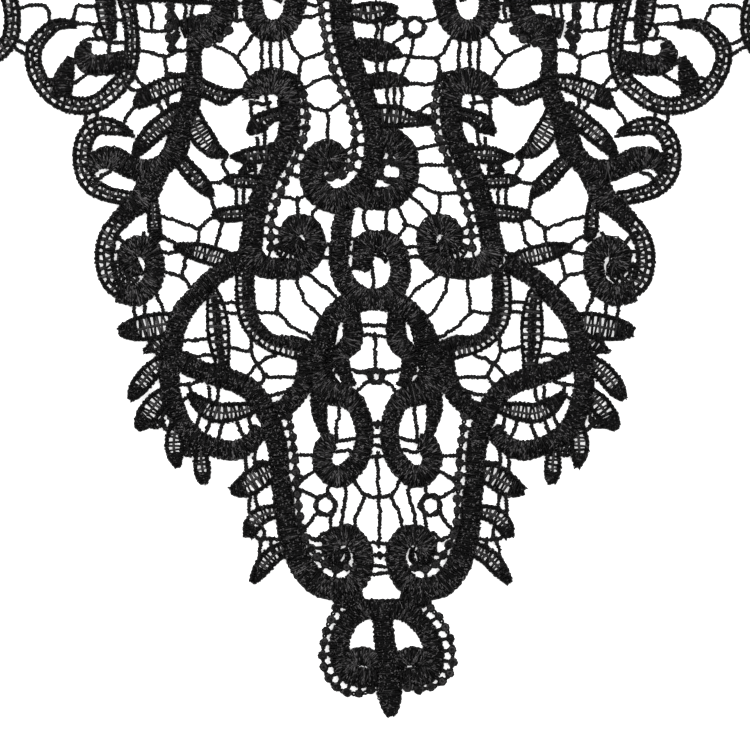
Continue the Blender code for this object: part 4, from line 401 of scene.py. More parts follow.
MIDDLE_BARS = (
    ((0.4, 136), (2.8, 135), (5.8, 133.4)), ((1.2, 139.2), (4.2, 139), (7.2, 137.6)),
    ((4.3, 139), (4.6, 141.8)),
    ((-7, 135.8), (-7.4, 138)), ((-10, 135.2), (-12.6, 134.6)), ((-8.4, 135.6), (-9, 137.4)),
    ((0.2, 66), (0.2, 60), (0.3, 55), (0.4, 50), (0, 44), (0, 43.2)), ((0, 95.8), (0, 91), (0, 86.8)),
    ((0, 74), (0, 73)), ((0, 102.6), (0, 107.6), (0, 113)), ((0, 41), (0, 40.4)),
    ((-0.6, 128.4), (-1.6, 124.6), (-0.6, 121)), ((4.2, 128), (4, 124), (4.4, 120.6)),
    ((6.4, 128.6), (8.8, 123.6), (6.6, 120)),
    ((8.6, 123.4), (12.8, 122)), ((10, 130.6), (14.6, 126.4), (15, 124.6)),
    ((10.8, 133.2), (14, 132.4), (17.2, 131), (22.2, 131.6)),
    ((17.2, 131), (17, 125.4)), ((11.6, 138.1), (15, 138.3), (20.4, 138.2)),
    ((10.4, 142.4), (13, 142.6), (19, 143.8)),
    ((8.6, 117.5), (13, 117.6)), ((8.8, 115), (11, 115.4), (14, 115.8)),
    ((-12, 117.6), (-10, 118.4), (-9.4, 117.4)),
    ((-10, 115), (-12, 115.2), (-13.6, 115.4)), ((-4.6, 120), (-3.6, 119.8)), ((-6.4, 116.2), (-4, 116)),
    ((-4, 112.8), (-6, 112.4)),
    ((-14, 132), (-16, 130.8), (-18, 129.6), (-22.6, 130.4)), ((-18.2, 129.8), (-18, 125.2)),
    ((-12.4, 128.4), (-14.6, 125.4)),
    ((-16.6, 136), (-18.6, 135.4), (-20.4, 136)), ((-17, 142), (-18.4, 143.2)),
    ((-10.8, 144.6), (-10.7, 151.6)),
    ((-6.9, 154.4), (-9, 152.8), (-10.8, 151.8), (-13, 152.3), (-15.6, 153.4)),
    ((-8.6, 160.6), (-11, 160), (-14, 159), (-17.4, 157)),
    ((-11, 166.6), (-14, 165.3), (-16.9, 164.8)), ((-12.6, 176), (-15, 175.2), (-17.6, 175)),
    ((-13.2, 178.4), (-16.4, 178.4)),
    ((9.2, 165.4), (13.5, 165.1), (16.9, 164.8)), ((10, 165.2), (8.7, 162), (8.2, 160)),
    ((10.2, 165.6), (11, 170.4)),
    ((6.2, 168.4), (8, 170.2), (9.6, 171.2)), ((8.8, 174.4), (8.8, 170.8)),
    ((5.8, 177), (7, 175.2), (9.4, 174.4)), ((13.2, 172), (11.8, 170.4)),
    ((13.4, 174), (15, 174.4), (17.6, 175.4)), ((9.4, 158.7), (13, 158.5), (16.2, 158.8), (17.4, 160.6)),
    ((3.2, 170), (3.4, 174)), ((1.6, 170), (1.6, 173.6)),
    ((2, 161.4), (2.2, 164.4)), ((4.4, 161), (4.4, 164.2)), ((4.5, 157.8), (4.5, 153)),
    ((6.2, 158), (6.2, 153)), ((7.8, 158), (7.8, 153)),
    ((11, 151), (12.4, 151.6), (14.8, 153.2)), ((3, 139.2), (7.6, 138.8)), ((5, 141.6), (5.4, 138.6)),
    ((2.6, 134.8), (7.4, 134.4)),
)

# Small rings of thread: (out, up, radius).
PAIRED_RINGS = ((13.1, 53.2, 2.4),)
MIDDLE_RINGS = ((0, 85.3, 1.5), (11.3, 172.7, 2.3), (5.2, 136.7, 2.6))

# Rows of picot knots, each a route of (out, up) that they follow.
PAIRED_PICOTS = (
    ((22, 75.5), (20.8, 67), (20.3, 60), (19.9, 54), (19.2, 47), (17.1, 42.6), (14.6, 39.2), (11.4, 37.1),
        (8.4, 37.6)),
    ((50.9, 178), (51.1, 174.6), (51, 171), (50.2, 167.4)), ((35.6, 171.8), (37.8, 169.8), (41, 168.6)),
    ((16.5, 156), (15.8, 150), (16.8, 145), (18.9, 140), (20.8, 135.5), (22.5, 131.5), (23.8, 127.5),
        (24.9, 123.5), (25.1, 117.5)),
)
MIDDLE_PICOTS = (
    ((-12.4, 179.5), (-12, 175), (-11, 169.5), (-9.4, 163.2), (-7.4, 158), (-5.1, 152.5), (-3.9, 147),
        (-4.1, 141.5), (-4.9, 138), (-7, 135.8), (-10, 135.2)),
    ((12, 27.6), (13.9, 25.2), (15.7, 21.6), (16.4, 18), (16.3, 14.2), (15.1, 10.8), (12.8, 8.8),
        (10, 7.6), (7, 7.2), (4.4, 7.8)),
    ((-11.6, 27.4), (-13.1, 25), (-14.8, 21.4), (-15.7, 17.8), (-16, 14), (-15.3, 10.4), (-13.3, 7.6),
        (-10.6, 6.3), (-7.4, 6.1), (-4.8, 6.9)),
)

# The two arms that go on up beside the neck: middle line of (out, up, half width), and one repeat
# of the pattern in (along, across, width), where across goes from -1 at the neck to 1 outside.
ARM_LINE = (
    (72, 208, 34), (80.5, 229, 33), (86.5, 252, 31), (89, 276, 29.5), (88, 300, 28.5), (84, 322, 26.5),
        (77.5, 344, 25),
)
ARM_REPEATS = 4
REPEAT_LENGTH = 35
ARM_CORDS = {
    "arm_s": (
        (7, -1.05, 4.2), (3.4, -0.8, 4.6), (4.4, -0.46, 5), (10, -0.2, 5), (17.5, -0.08, 5), (24.5, 0, 5),
        (29, 0.2, 5),
        (30.4, 0.5, 5), (26, 0.74, 4.8), (19.8, 0.72, 4.8), (17.6, 0.5, 4.4), (20.4, 0.37, 3.8),
        (22.8, 0.5, 3.4),
    ),
}
ARM_BANDS = {
    "arm_lobe": (
        (2, 0.5, 3), (1.8, 0.76, 4.4), (5, 1.0, 4.6), (11, 1.13, 4.8), (18, 1.17, 4.8), (25, 1.13, 4.8),
        (31, 0.98, 4.6),
        (33.4, 0.76, 4.2), (32.8, 0.58, 3),
    ),
}
ARM_LEAVES = {
    "arm_leaf_1": ("ladder", ((12.6, -0.18, 4), (11, -0.42, 5.4), (12.4, -0.68, 4.6), (15, -0.92, 1.8))),
    "arm_leaf_2": ("mesh", ((22, -0.05, 4), (23.6, -0.34, 5.4), (22.6, -0.64, 4.6), (20, -0.9, 1.8))),
    "arm_leaf_3": ("close", ((28.4, 0.1, 4), (31.4, -0.15, 5), (31.6, -0.48, 4.4), (29.4, -0.8, 1.8))),
    "arm_leaf_4": ("mesh", ((8.6, -0.24, 4), (6.4, 0.1, 5.2), (7.4, 0.44, 4.6), (11.6, 0.74, 1.8))),
}
ARM_BARS = (
    ((15, -0.9), (15.4, -1.08)), ((20, -0.88), (19.6, -1.08)), ((29.4, -0.78), (29.6, -1.08)),
    ((11.4, -0.5), (6, -0.62), (3.6, -0.7)),
    ((14, -0.8), (20.6, -0.8)), ((24, -0.5), (28, -0.56), (31.4, -0.5)), ((12, 0.76), (12.4, 1.1)),
    ((12, 0.74), (17.6, 0.6)),
    ((19.4, 0.76), (19.4, 1.12)), ((26, 0.78), (26.6, 1.08)), ((30.6, 0.66), (33, 0.7)),
    ((7.6, 0.44), (2.4, 0.5)),
    ((8.4, 0.3), (13.6, 0.24), (17.6, 0.44)), ((13.6, 0.24), (14.6, -0.1)),
    ((2.2, 0.56), (0, 0.5), (-2.2, 0.6)), ((31.8, -0.3), (36, -0.3), (39.2, -0.4)),
    ((29.4, 0.2), (34, 0.14), (36.6, 0.5)), ((5.4, 0), (1.4, 0.1), (-1, 0.14)),
    ((31, -0.66), (36, -0.72), (38.4, -0.7)), ((22, 0.34), (23.6, 0.04)),
)
ARM_END = ((33.6, -1.1, 4.6), (35.6, -0.6, 4.6), (36.4, 0, 4.6), (35.8, 0.5, 4.6), (33.4, 0.86, 4.4))

# Places are worked in millimetres on the pattern, then moved to the frame's own place.
FOOT = CAD_BOX[0][1] * 1000 + 0.35
DROP_SEAM_UP = 29.9
FAR = 176.0

# Stitch sizes: spacing along a cord, its rise, thread thicknesses.
SATIN_PITCH = 0.36
SATIN_RISE = 1.3
BED = 0.12
RAIL = 1.2
LOBE_RAIL = 1.2
DENSE_RAIL = 1.4
VEIN_RAIL = 0.95
BAR_PLY = 0.35
CORD_FULLNESS = 1.05
BAR_REACH = 0.7

# Where the cord of the low ring turns in under itself, as sections of (out, up, width).
LOW_RING_END = ((-1.9, 116.4, 4.8), (-2.1, 114.6, 4.8), (-2.7, 113, 4.4), (-3.2, 112, 3))
TIP_SHARE = 0.3


def column(rows, at, number):
    return np.interp(at, [row[0] for row in rows], [row[number] for row in rows])


def lay(spots, side=1):
    """Turns places in one half of the pattern into places on the table."""
    spots = np.array(spots, float)
    out = spots[:, 0] * side
    up = spots[:, 1]
    laid = spots.copy()
    laid[:, 0] = out + column(LAY, up, 1) + column(LAY, up, 2) * (out / REACH_AT) ** 2
    return laid


def arm_distances():
    spots = np.array([row[:2] for row in ARM_LINE], float)
    steps = np.hypot(*(spots[1:] - spots[:-1]).T)
    return np.concatenate(([0.0], np.cumsum(steps)))


def arm_middle(along, at):
    first = np.array(ARM_LINE[0][:2], float)
    last = np.array(ARM_LINE[-1][:2], float)
    if along < 0:
        way = np.array(ARM_LINE[1][:2], float) - first
        return first + way / np.hypot(*way) * along
    if along > at[-1]:
        way = last - np.array(ARM_LINE[-2][:2], float)
        return last + way / np.hypot(*way) * (along - at[-1])
    return np.array([
        np.interp(along, at, [row[0] for row in ARM_LINE]),
        np.interp(along, at, [row[1] for row in ARM_LINE]),
    ])


def arm_point(along, across):
    """Turns a place in the arm pattern into (out, up)."""
    at = arm_distances()
    middle = arm_middle(along, at)
    way = arm_middle(along + 8, at) - arm_middle(along - 8, at)
    way = way / np.hypot(*way)
    half = float(np.interp(along, at, [row[2] for row in ARM_LINE]))
    return middle[0] + way[1] * across * half, middle[1] - way[0] * across * half


def smooth(rows, step=0.5):
    """Rounds a chain of sections into closely spaced ones."""
    spots = np.array(rows, float)
    last = len(spots) - 1
    out = []
    for number in range(last):
        before = spots[max(number - 1, 0)]
        start = spots[number]
        end = spots[number + 1]
        after = spots[min(number + 2, last)]
        count = max(2, int(math.hypot(end[0] - start[0], end[1] - start[1]) / step))
        t = np.arange(count)[:, None] / count
        out.append(0.5 * (
            2 * start + (end - before) * t + (2 * before - 5 * start + 4 * end - after) * t * t
            + (3 * start - before - 3 * end + after) * t ** 3
        ))
    out.append(spots[-1:])
    return np.concatenate(out)


def spaced(line, pitch):
    """The same line with a place every pitch."""
    steps = np.hypot(*(line[1:, :2] - line[:-1, :2]).T)
    at = np.concatenate(([0.0], np.cumsum(steps)))
    count = max(2, int(round(at[-1] / pitch)))
    wanted = np.linspace(0, at[-1], count + 1)
    return np.stack([np.interp(wanted, at, line[:, n]) for n in range(line.shape[1])], axis=1)


def worked_area(line):
    """Square millimetres that a stroke covers."""
    steps = np.hypot(*(line[1:, :2] - line[:-1, :2]).T)
    return float((steps * (line[1:, 2] + line[:-1, 2]) / 2).sum())


def sideways(line):
    way = np.gradient(line[:, :2], axis=0)
    size = np.maximum(np.hypot(way[:, 0], way[:, 1]), 1e-9)[:, None]
    way = way / size
    return np.stack([-way[:, 1], way[:, 0]], axis=1), way


class Stitching:
    """Gathers the vertices, faces and painted glint tones of one piece, and the area that is worked in it."""

    def __init__(self, plain=False):
        self.plain = plain
        self.spots = []
        self.faces = []
        self.values = []
        self.count = 0
        self.worked = 0.0

    def add(self, spots, faces, values):
        self.spots.append(spots)
        self.faces.append(faces + self.count)
        self.values.append(values)
        self.count += len(spots)


def body(stitching, rows, rise, shade=0.15):
    """The dark core that the stitches lie on, a low dome closed beneath."""
    across, _ = sideways(rows)
    count = len(rows)
    reach = np.array([-0.92, -0.55, 0.0, 0.55, 0.92])
    dome = np.array([0.12, 0.72, 0.86, 0.72, 0.12])
    offset = reach * (rows[:, 2] / 2)[:, None]
    rings = np.zeros((count, 6, 3))
    rings[:, :5, 0] = rows[:, 0, None] + across[:, 0, None] * offset
    rings[:, :5, 1] = rows[:, 1, None] + across[:, 1, None] * offset
    rings[:, :5, 2] = BED + dome * rise[:, None]
    rings[:, 5, :2] = rows[:, :2]
    rings[:, 5, 2] = BED * 0.3
    grid = np.arange(count * 6).reshape(count, 6)
    turned = np.roll(grid, -1, axis=1)
    walls = np.stack([grid[:-1], grid[1:], turned[1:], turned[:-1]], axis=-1).reshape(-1, 4)
    caps = []
    for row, way in ((grid[0], 1), (grid[-1], -1)):
        caps.append([row[0], row[1], row[4], row[5]][::way])
        caps.append([row[1], row[2], row[3], row[4]][::way])
    # shade is the painted glint tone of the core, the same over all of it.
    stitching.add(rings.reshape(-1, 3), np.concatenate([walls, np.array(caps)]), np.full(count * 6, shade))


def clumps(count, size, amount):
    """Slow random change along a row, one value a stitch."""
    knots = np.arange(0, count + 2 * size, size)
    return np.interp(np.arange(count), knots, rng.normal(0, amount, len(knots)))


def scallops(reach, step=0.6, amount=0.27):
    """The bumps of a worked edge along its length, no two alike."""
    at = np.arange(-1.0, reach + 2.0, step)
    swing = rng.uniform(0.2, 1.3, len(at)) * np.where(np.arange(len(at)) % 2 == 0, amount, -amount)
    return at + rng.uniform(-0.15, 0.15, len(at)), swing


def distances(line):
    return np.concatenate(([0.0], np.cumsum(np.hypot(*(line[1:, :2] - line[:-1, :2]).T))))


def laid_stitches(stitching, rows, reach, dome, rise, ragged, lean, radius, rough, wave=0.0, edges=None):
    """Separate threads laid from edge to edge, each with its own slant, waver, height and painted glint tones."""
    count = len(rows)
    across, along = sideways(rows)
    points = len(reach)
    at = distances(rows)
    edges = edges or (scallops(at[-1], 0.6, ragged), scallops(at[-1], 0.6, ragged))
    right = np.interp(at, *edges[0]) + rng.normal(0, 0.05, count)
    left = -np.interp(at, *edges[1]) + rng.normal(0, 0.05, count)
    half = np.maximum(rows[:, 2] / 2, 0.25)
    offset = reach * half[:, None] + np.where(reach < 0, left[:, None], right[:, None]) * np.abs(reach)
    slant = clumps(count, 9, lean) + rng.normal(0, lean * 0.5, count)
    move = reach * slant[:, None] + rng.normal(0, wave, (count, points))
    middle = np.empty((count, points, 3))
    middle[:, :, 0] = rows[:, 0, None] + across[:, 0, None] * offset + along[:, 0, None] * move
    middle[:, :, 1] = rows[:, 1, None] + across[:, 1, None] * offset + along[:, 1, None] * move
    lift = rng.normal(0, rough, count)
    middle[:, :, 2] = BED + 0.1 + dome * (rise[:, None] + lift[:, None]) + rng.normal(0, rough * 0.6, (count, points))
    wide = radius * rng.uniform(0.8, 1.2, (count, points))[:, :, None]
    corners = np.array([(-1.0, -0.35), (0.0, 1.0), (1.0, -0.35)])
    rings = np.repeat(middle[:, :, None, :], 3, axis=2)
    rings[:, :, :, 0] += along[:, None, None, 0] * corners[:, 0] * wide
    rings[:, :, :, 1] += along[:, None, None, 1] * corners[:, 0] * wide
    rings[:, :, :, 2] += corners[:, 1] * wide
    rings[:, :, :, 2] = np.maximum(rings[:, :, :, 2], 0.02)
    grid = np.arange(count * points * 3).reshape(count, points, 3)
    turned = np.roll(grid, -1, axis=2)
    walls = np.stack([grid[:, :-1], turned[:, :-1], turned[:, 1:], grid[:, 1:]], axis=-1).reshape(-1, 4)
    first = grid[:, 0][:, [0, 2, 1, 0]]
    last = grid[:, -1][:, [0, 1, 2, 0]]
    # Painted glints: random bright spots on each thread, stronger where the cord bends; the two lower corners get 0.3
    # of it, so each thread's top is painted paler than its sides.
    bend = np.hypot(*np.gradient(along, axis=0).T) / max(at[-1] / count, 0.05)
    glint_at_bends = np.clip(0.35 + bend * 3, 0.35, 1.0)
    tone = rng.gamma(0.7, 0.36, (count, points)) * (rng.uniform(0.4, 1.3, count) * glint_at_bends)[:, None]
    tone = np.repeat(np.clip(tone, 0, 1.5)[:, :, None], 3, axis=2)
    tone[:, :, 0] *= 0.3
    tone[:, :, 2] *= 0.3
    stitching.add(rings.reshape(-1, 3), np.concatenate([walls, first, last]), tone.reshape(-1))


def stray_stitches(stitching, line, rise, each=2.2):
    """Short stitches scattered over a cord, as satin shows where threads cross; they carry bright painted glints."""
    rows = spaced(line, 0.5)
    across, along = sideways(rows)
    steps = np.hypot(*(rows[1:, :2] - rows[:-1, :2]).T)
    wanted = int((steps * rows[1:, 2]).sum() * each)
    if wanted < 3:
        return
    picked = rng.choice(len(rows), wanted, p=rows[:, 2] / rows[:, 2].sum())
    out = rng.uniform(-0.9, 0.9, wanted)
    bend = np.hypot(*np.gradient(along, axis=0).T)[picked] * 2
    turn = rng.normal(0, 1, wanted) * np.clip(1.2 - bend * 7, 0.25, 1.2)
    length = rng.uniform(0.12, 0.26, wanted) * (1 + np.clip(bend * 7, 0, 1.2))
    spot = rows[picked]
    side = across[picked]
    run = side * np.cos(turn)[:, None] + along[picked] * np.sin(turn)[:, None]
    cross = np.stack([-run[:, 1], run[:, 0]], axis=1)
    half = spot[:, 2] / 2
    base = spot[:, :2] + side * (out * half)[:, None] + along[picked] * rng.uniform(-0.25, 0.25, wanted)[:, None]
    top = BED + 0.1 + rise * np.clip(spot[:, 2] / 4.6, 0.3, 1.0)
    ends = np.array([-1.0, 1.0])
    corners = np.array([(-1.0, -0.7), (0.0, 1.0), (1.0, -0.7)])
    wide = rng.uniform(0.1, 0.17, wanted)[:, None, None]
    place = np.clip(out[:, None] + ends * (length * np.cos(turn) / np.maximum(half, 0.5))[:, None], -1, 1)
    level = top[:, None] * (1.0 - 0.5 * np.abs(place) ** 2.4) + 0.13
    middle = base[:, None, :] + run[:, None, :] * (ends * length[:, None])[:, :, None]
    rings = np.empty((wanted, 2, 3, 3))
    rings[..., :2] = middle[:, :, None, :] + cross[:, None, None, :] * (corners[:, 0] * wide)[..., None]
    rings[..., 2] = level[:, :, None] + corners[:, 1] * wide
    grid = np.arange(wanted * 6).reshape(wanted, 2, 3)
    turned = np.roll(grid, -1, axis=2)
    walls = np.stack([grid[:, :-1], grid[:, 1:], turned[:, 1:], turned[:, :-1]], axis=-1).reshape(-1, 4)
    first = grid[:, 0][:, [0, 1, 2, 0]]
    last = grid[:, -1][:, [0, 2, 1, 0]]
    # Painted glints: a bright random tone per stitch, its two lower corners at 0.4 of it so its top is painted paler.
    tone = np.repeat(rng.gamma(1.0, 0.8, wanted), 6).reshape(wanted, 2, 3)
    tone[:, :, 0] *= 0.4
    tone[:, :, 2] *= 0.4
    stitching.add(rings.reshape(-1, 3), np.concatenate([walls, first, last]), tone.reshape(-1))


WIDE_REACH = np.array([-1.0, -0.66, 0.0, 0.66, 1.0])
WIDE_DOME = np.array([0.1, 0.82, 1.0, 0.82, 0.1])
PLAIN_REACH = np.array([-0.99, -0.6, 0.6, 0.99])
PLAIN_DOME = np.array([0.1, 0.86, 0.86, 0.1])
NARROW_REACH = np.array([-1.0, -0.5, 0.5, 1.0])
NARROW_DOME = np.array([0.15, 0.95, 0.95, 0.15])


def satin(stitching, line, rise=SATIN_RISE, pitch=SATIN_PITCH, strays=2.8):
    """A raised cord: threads laid close together across a dark core."""
    plain = stitching.plain
    rows = spaced(line, pitch * 2.6 if plain else pitch)
    if len(rows) < 4:
        return
    low = rise * np.clip(rows[:, 2] / 4.6, 0.3, 1.0)
    core = spaced(line, 1.3)
    body(stitching, core, rise * np.clip(core[:, 2] / 4.6, 0.3, 1.0))
    reach, dome = (PLAIN_REACH, PLAIN_DOME) if plain else (WIDE_REACH, WIDE_DOME)
    edges = [scallops(distances(line)[-1]) for _ in range(2)]
    laid_stitches(stitching, rows, reach, dome, low, 0.11, 0.22, pitch * (1.0 if plain else 0.7), 0.1, 0.12, edges)
    if not plain:
        run = spaced(line, 0.45)
        side, _ = sideways(run)
        for sign, edge in zip((1, -1), edges):
            place = run[:, 2] / 2 - 0.12 + np.interp(distances(run), *edge)
            size = 0.26 * rng.uniform(0.6, 1.4, len(run))
            thread(stitching, run[:, :2] + side * (place * sign)[:, None], size, 0.45, 4, 0.0, 0.3)
        stray_stitches(stitching, line, rise, strays)


def edge_cord(stitching, line, pitch=0.56):
    """A narrow worked edge: short stitches over a thread."""
    pitch = pitch * (1.7 if stitching.plain else 1.0)
    rows = spaced(line, pitch)
    if len(rows) < 4:
        return
    core = spaced(line, 1.0)
    thread(stitching, core[:, :2], core[:, 2] * 0.4, 0.5, 4, 0.0, 0.1)
    wide = pitch * (0.36 if stitching.plain else 0.6)
    laid_stitches(stitching, rows, NARROW_REACH, NARROW_DOME, np.full(len(rows), 0.8), 0.19, 0.24, wide, 0.13, 0.12)


def thread(stitching, line, radius, height, sides=5, wobble=0.0, shade=0.5):
    """A round thread along a line of places (x, y), at a height that may change along it."""
    line = np.asarray(line, float)
    count = len(line)
    across, _ = sideways(line)
    height = np.broadcast_to(np.asarray(height, float), (count,))
    radius = np.broadcast_to(np.asarray(radius, float), (count,))
    turn = np.linspace(0, 2 * math.pi, sides, endpoint=False)
    rings = np.empty((count, sides, 3))
    shift = across * (rng.normal(0, wobble, count)[:, None] if wobble else 0.0)
    rings[:, :, 0] = (line[:, 0] + shift[:, 0])[:, None] + across[:, 0, None] * np.cos(turn) * radius[:, None]
    rings[:, :, 1] = (line[:, 1] + shift[:, 1])[:, None] + across[:, 1, None] * np.cos(turn) * radius[:, None]
    rings[:, :, 2] = height[:, None] + np.sin(turn) * radius[:, None]
    grid = np.arange(count * sides).reshape(count, sides)
    turned = np.roll(grid, -1, axis=1)
    walls = np.stack([grid[:-1], turned[:-1], turned[1:], grid[1:]], axis=-1).reshape(-1, 4)
    caps = []
    for row, way in ((grid[0], -1), (grid[-1], 1)):
        if sides == 4:
            caps.append(list(row)[::way])
        elif sides == 5:
            caps.append([row[0], row[1], row[2], row[3]][::way])
            caps.append([row[0], row[3], row[4], row[0]][::way])
        else:
            caps.append([row[0], row[1], row[2], row[3]][::way])
            caps.append([row[0], row[3], row[4], row[5]][::way])
    # shade is the painted glint tone, the same over the whole thread.
    stitching.add(rings.reshape(-1, 3), np.concatenate([walls, np.array(caps)]), np.full(count * sides, float(shade)))


def bar(stitching, line, ply=BAR_PLY, twist=1.3, height=0.62):
    """Two plies of thread twisted round each other, a little kinked."""
    if stitching.plain:
        thread(stitching, spaced(line, 0.9), ply * 1.5, height, 4, 0.06, 0.5)
        return
    line = spaced(line, 0.36)
    across, _ = sideways(line)
    steps = np.concatenate(([0.0], np.cumsum(np.hypot(*(line[1:] - line[:-1]).T))))
    start = rng.uniform(0, 6.28)
    kinks = clumps(len(line), 3, 0.16)
    for half in (0.0, math.pi):
        angle = start + half + steps * 2 * math.pi / twist
        wide = ply * 0.9 * np.cos(angle) + kinks + rng.normal(0, 0.05, len(line))
        size = ply * rng.uniform(0.7, 1.3, len(line))
        thread(stitching, line + across * wide[:, None], size, height + ply * 0.9 * np.sin(angle), 4, 0.0, 0.22)


def rungs(stitching, line, pitch, radius, start_at, end_at, slant=0.0):
    """Threads laid across a band, from one share of its width to another."""
    rows = spaced(line, pitch)
    if len(rows) < 4:
        return
    across, along = sideways(rows)
    count = len(rows)
    sign = np.where(np.arange(count) % 2 == 0, 1.0, -1.0)
    lean = slant * sign + rng.normal(0, 0.09, count)
    reach = np.array([start_at, (start_at + end_at) / 2, end_at])
    share = np.array([1.0, 0.0, -1.0])
    offset = reach * (rows[:, 2] / 2)[:, None]
    move = share * lean[:, None] + rng.normal(0, 0.07, (count, 3))
    wide = (radius * rng.uniform(0.8, 1.2, count))[:, None, None]
    corners = np.array([(-1.0, -0.4), (0.0, 1.0), (1.0, -0.4)])
    rings = np.zeros((count, 3, 3, 3))
    rings[..., 0] = (rows[:, 0, None] + across[:, 0, None] * offset + along[:, 0, None] * move)[:, :, None]
    rings[..., 1] = (rows[:, 1, None] + across[:, 1, None] * offset + along[:, 1, None] * move)[:, :, None]
    rings[..., 0] += along[:, None, None, 0] * corners[:, 0] * wide
    rings[..., 1] += along[:, None, None, 1] * corners[:, 0] * wide
    rings[..., 2] = 0.55 + rng.normal(0, 0.06, (count, 3))[:, :, None] + corners[:, 1] * wide
    grid = np.arange(count * 9).reshape(count, 3, 3)
    turned = np.roll(grid, -1, axis=2)
    if start_at < end_at:
        turned, grid = grid, turned
    walls = np.stack([grid[:, :-1], grid[:, 1:], turned[:, 1:], turned[:, :-1]], axis=-1).reshape(-1, 4)
    grid = np.arange(count * 9).reshape(count, 3, 3)
    first = grid[:, 0][:, [0, 1, 2, 0]]
    last = grid[:, -1][:, [0, 2, 1, 0]]
    if start_at < end_at:
        first, last = first[:, ::-1], last[:, ::-1]
    # Painted glint tone, random per rung.
    tone = np.clip(rng.gamma(1.3, 0.25, count), 0, 1.2)
    tone = np.repeat(tone, 9)
    stitching.add(rings.reshape(-1, 3), np.concatenate([walls, first, last]), tone)


def band(stitching, line, style, outer=0):
    """A band or leaf of worked edges with stitches between them. A leaf is closed towards its tip."""
    if style == "close":
        satin(stitching, line, rise=1.2)
        return
    if style == "beaded":
        beaded_band(stitching, line, outer)
        return
    half = line[:, 2] / 2
    across, _ = sideways(line)
    rail = {"lobe": LOBE_RAIL, "dense": DENSE_RAIL, "vein": VEIN_RAIL}.get(style, RAIL)
    width = np.minimum(rail, line[:, 2] * 0.62)
    inner = np.maximum(half - width / 2, 0.05)
    for sign in (1, -1):
        edge = np.column_stack([line[:, :2] + across * (inner * sign)[:, None], width])
        edge_cord(stitching, edge)
    if style == "lobe":
        middle = line[:, :2] + across * (half * 0.06 * outer + clumps(len(line), 5, 0.1))[:, None]
        thread(stitching, middle[::2], 0.42, 0.62, 4, 0.08, 0.2)
        rungs(stitching, line, 1.75, 0.52, outer * 0.95, 0.06 * outer, 0.25)
        rungs(stitching, line, 1.1, 0.4, 0.06 * outer, -outer * 0.95, 0.4)
        return
    tip = int(len(line) * (1 - TIP_SHARE))
    if len(line) - tip > 4 and line[-1, 2] < 3:
        shut = line[tip:].copy()
        shut[:, 2] = np.maximum(shut[:, 2] - 0.4, 0.6)
        satin(stitching, shut, rise=0.8, pitch=0.42)
        line = line[:tip + 1]
        across = across[:tip + 1]
    wide = line[:, 2] > 3.2
    middle = line[:, :2] + across * clumps(len(line), 4, 0.14)[:, None]
    if style == "mesh":
        rungs(stitching, line, 0.98, 0.34, 0.95, -0.95, 0.3)
        if wide.sum() > 6:
            thread(stitching, middle[wide][::2], 0.36, 0.62, 4, 0.05, 0.4)
    elif style == "dense":
        rungs(stitching, line, 1.12, 0.43, 0.95, -0.95, 0.3)
        if wide.sum() > 6:
            thread(stitching, middle[wide][::2], 0.42, 0.62, 4, 0.05, 0.3)
    elif style == "ladder":
        rungs(stitching, line, 0.98, 0.34, 0.95, -0.95, 0.2)
        if wide.sum() > 6:
            thread(stitching, middle[wide][::2], 0.3, 0.66, 4, 0.05, 0.4)
    elif style == "vein":
        rungs(stitching, line, 1.9, 0.5, 0.95, -0.95, 0.2)
        vein = line.copy()
        vein[:, 2] = line[:, 2] * 0.34
        satin(stitching, vein, rise=1.5)


def beaded_band(stitching, line, outer):
    """A cord with a narrow beaded edge beside it and a row of small holes between."""
    across, _ = sideways(line)
    cord = line.copy()
    cord[:, :2] += across * (-outer * 0.2 * line[:, 2])[:, None]
    cord[:, 2] = line[:, 2] * 0.6
    satin(stitching, cord, rise=1.15)
    edge = line.copy()
    edge[:, :2] += across * (outer * (line[:, 2] / 2 - 0.5))[:, None]
    edge[:, 2] = 1.0
    edge_cord(stitching, edge)
    rungs(stitching, line, 1.35, 0.42, outer * 0.9, -outer * 0.2, 0.2)


def knot(stitching, x, y, angle, length, width, height):
    """A small rounded lump of wound thread with a dimple at its heart."""
    rings = []
    for level, (size, up) in enumerate(((0.72, 0.12), (1.0, 0.5), (0.86, 1.0), (0.45, 1.22), (0.12, 1.05))):
        turn = np.linspace(0, 2 * math.pi, 10, endpoint=False) + level * 0.3
        rough = 1 + rng.normal(0, 0.1, 10)
        a = np.cos(turn) * length / 2 * size * rough
        b = np.sin(turn) * width / 2 * size * rough
        rings.append(np.stack([
            x + a * math.cos(angle) - b * math.sin(angle),
            y + a * math.sin(angle) + b * math.cos(angle),
            BED + up * height / 1.22 * (1 + rng.normal(0, 0.06, 10)),
        ], axis=1))
    rings = np.array(rings)
    grid = np.arange(50).reshape(5, 10)
    turned = np.roll(grid, -1, axis=1)
    walls = np.stack([grid[:-1], turned[:-1], turned[1:], grid[1:]], axis=-1).reshape(-1, 4)
    caps = []
    for row, way in ((grid[0], -1), (grid[-1], 1)):
        for n in range(1, 5):
            caps.append([row[n - 1] if n > 1 else row[0], row[n], row[9 - n], row[10 - n] if n > 1 else row[9]][::way])
    # Painted glint tone, random per vertex of the knot.
    shade = rng.gamma(0.8, 0.35, 50)
    stitching.add(rings.reshape(-1, 3), np.concatenate([walls, np.array(caps)]), np.clip(shade, 0, 1.3))


def winding(stitching, x, y, angle, length, width, height):
    """Loops of thread wound round a knot."""
    turn = np.linspace(0, 2 * math.pi, 9)
    for size, up in ((0.86, 0.62), (0.5, 0.98)):
        a = np.cos(turn) * length / 2 * size
        b = np.sin(turn) * width / 2 * size
        loop = np.stack([x + a * math.cos(angle) - b * math.sin(angle), y + a * math.sin(angle) + b * math.cos(angle)], axis=1)
        # Each loop gets a random painted glint tone.
        thread(stitching, loop + rng.normal(0, 0.09, loop.shape), 0.22, BED + up * height, 4, 0.0, rng.uniform(0.1, 0.7))


PICOT_PITCH = 2.9


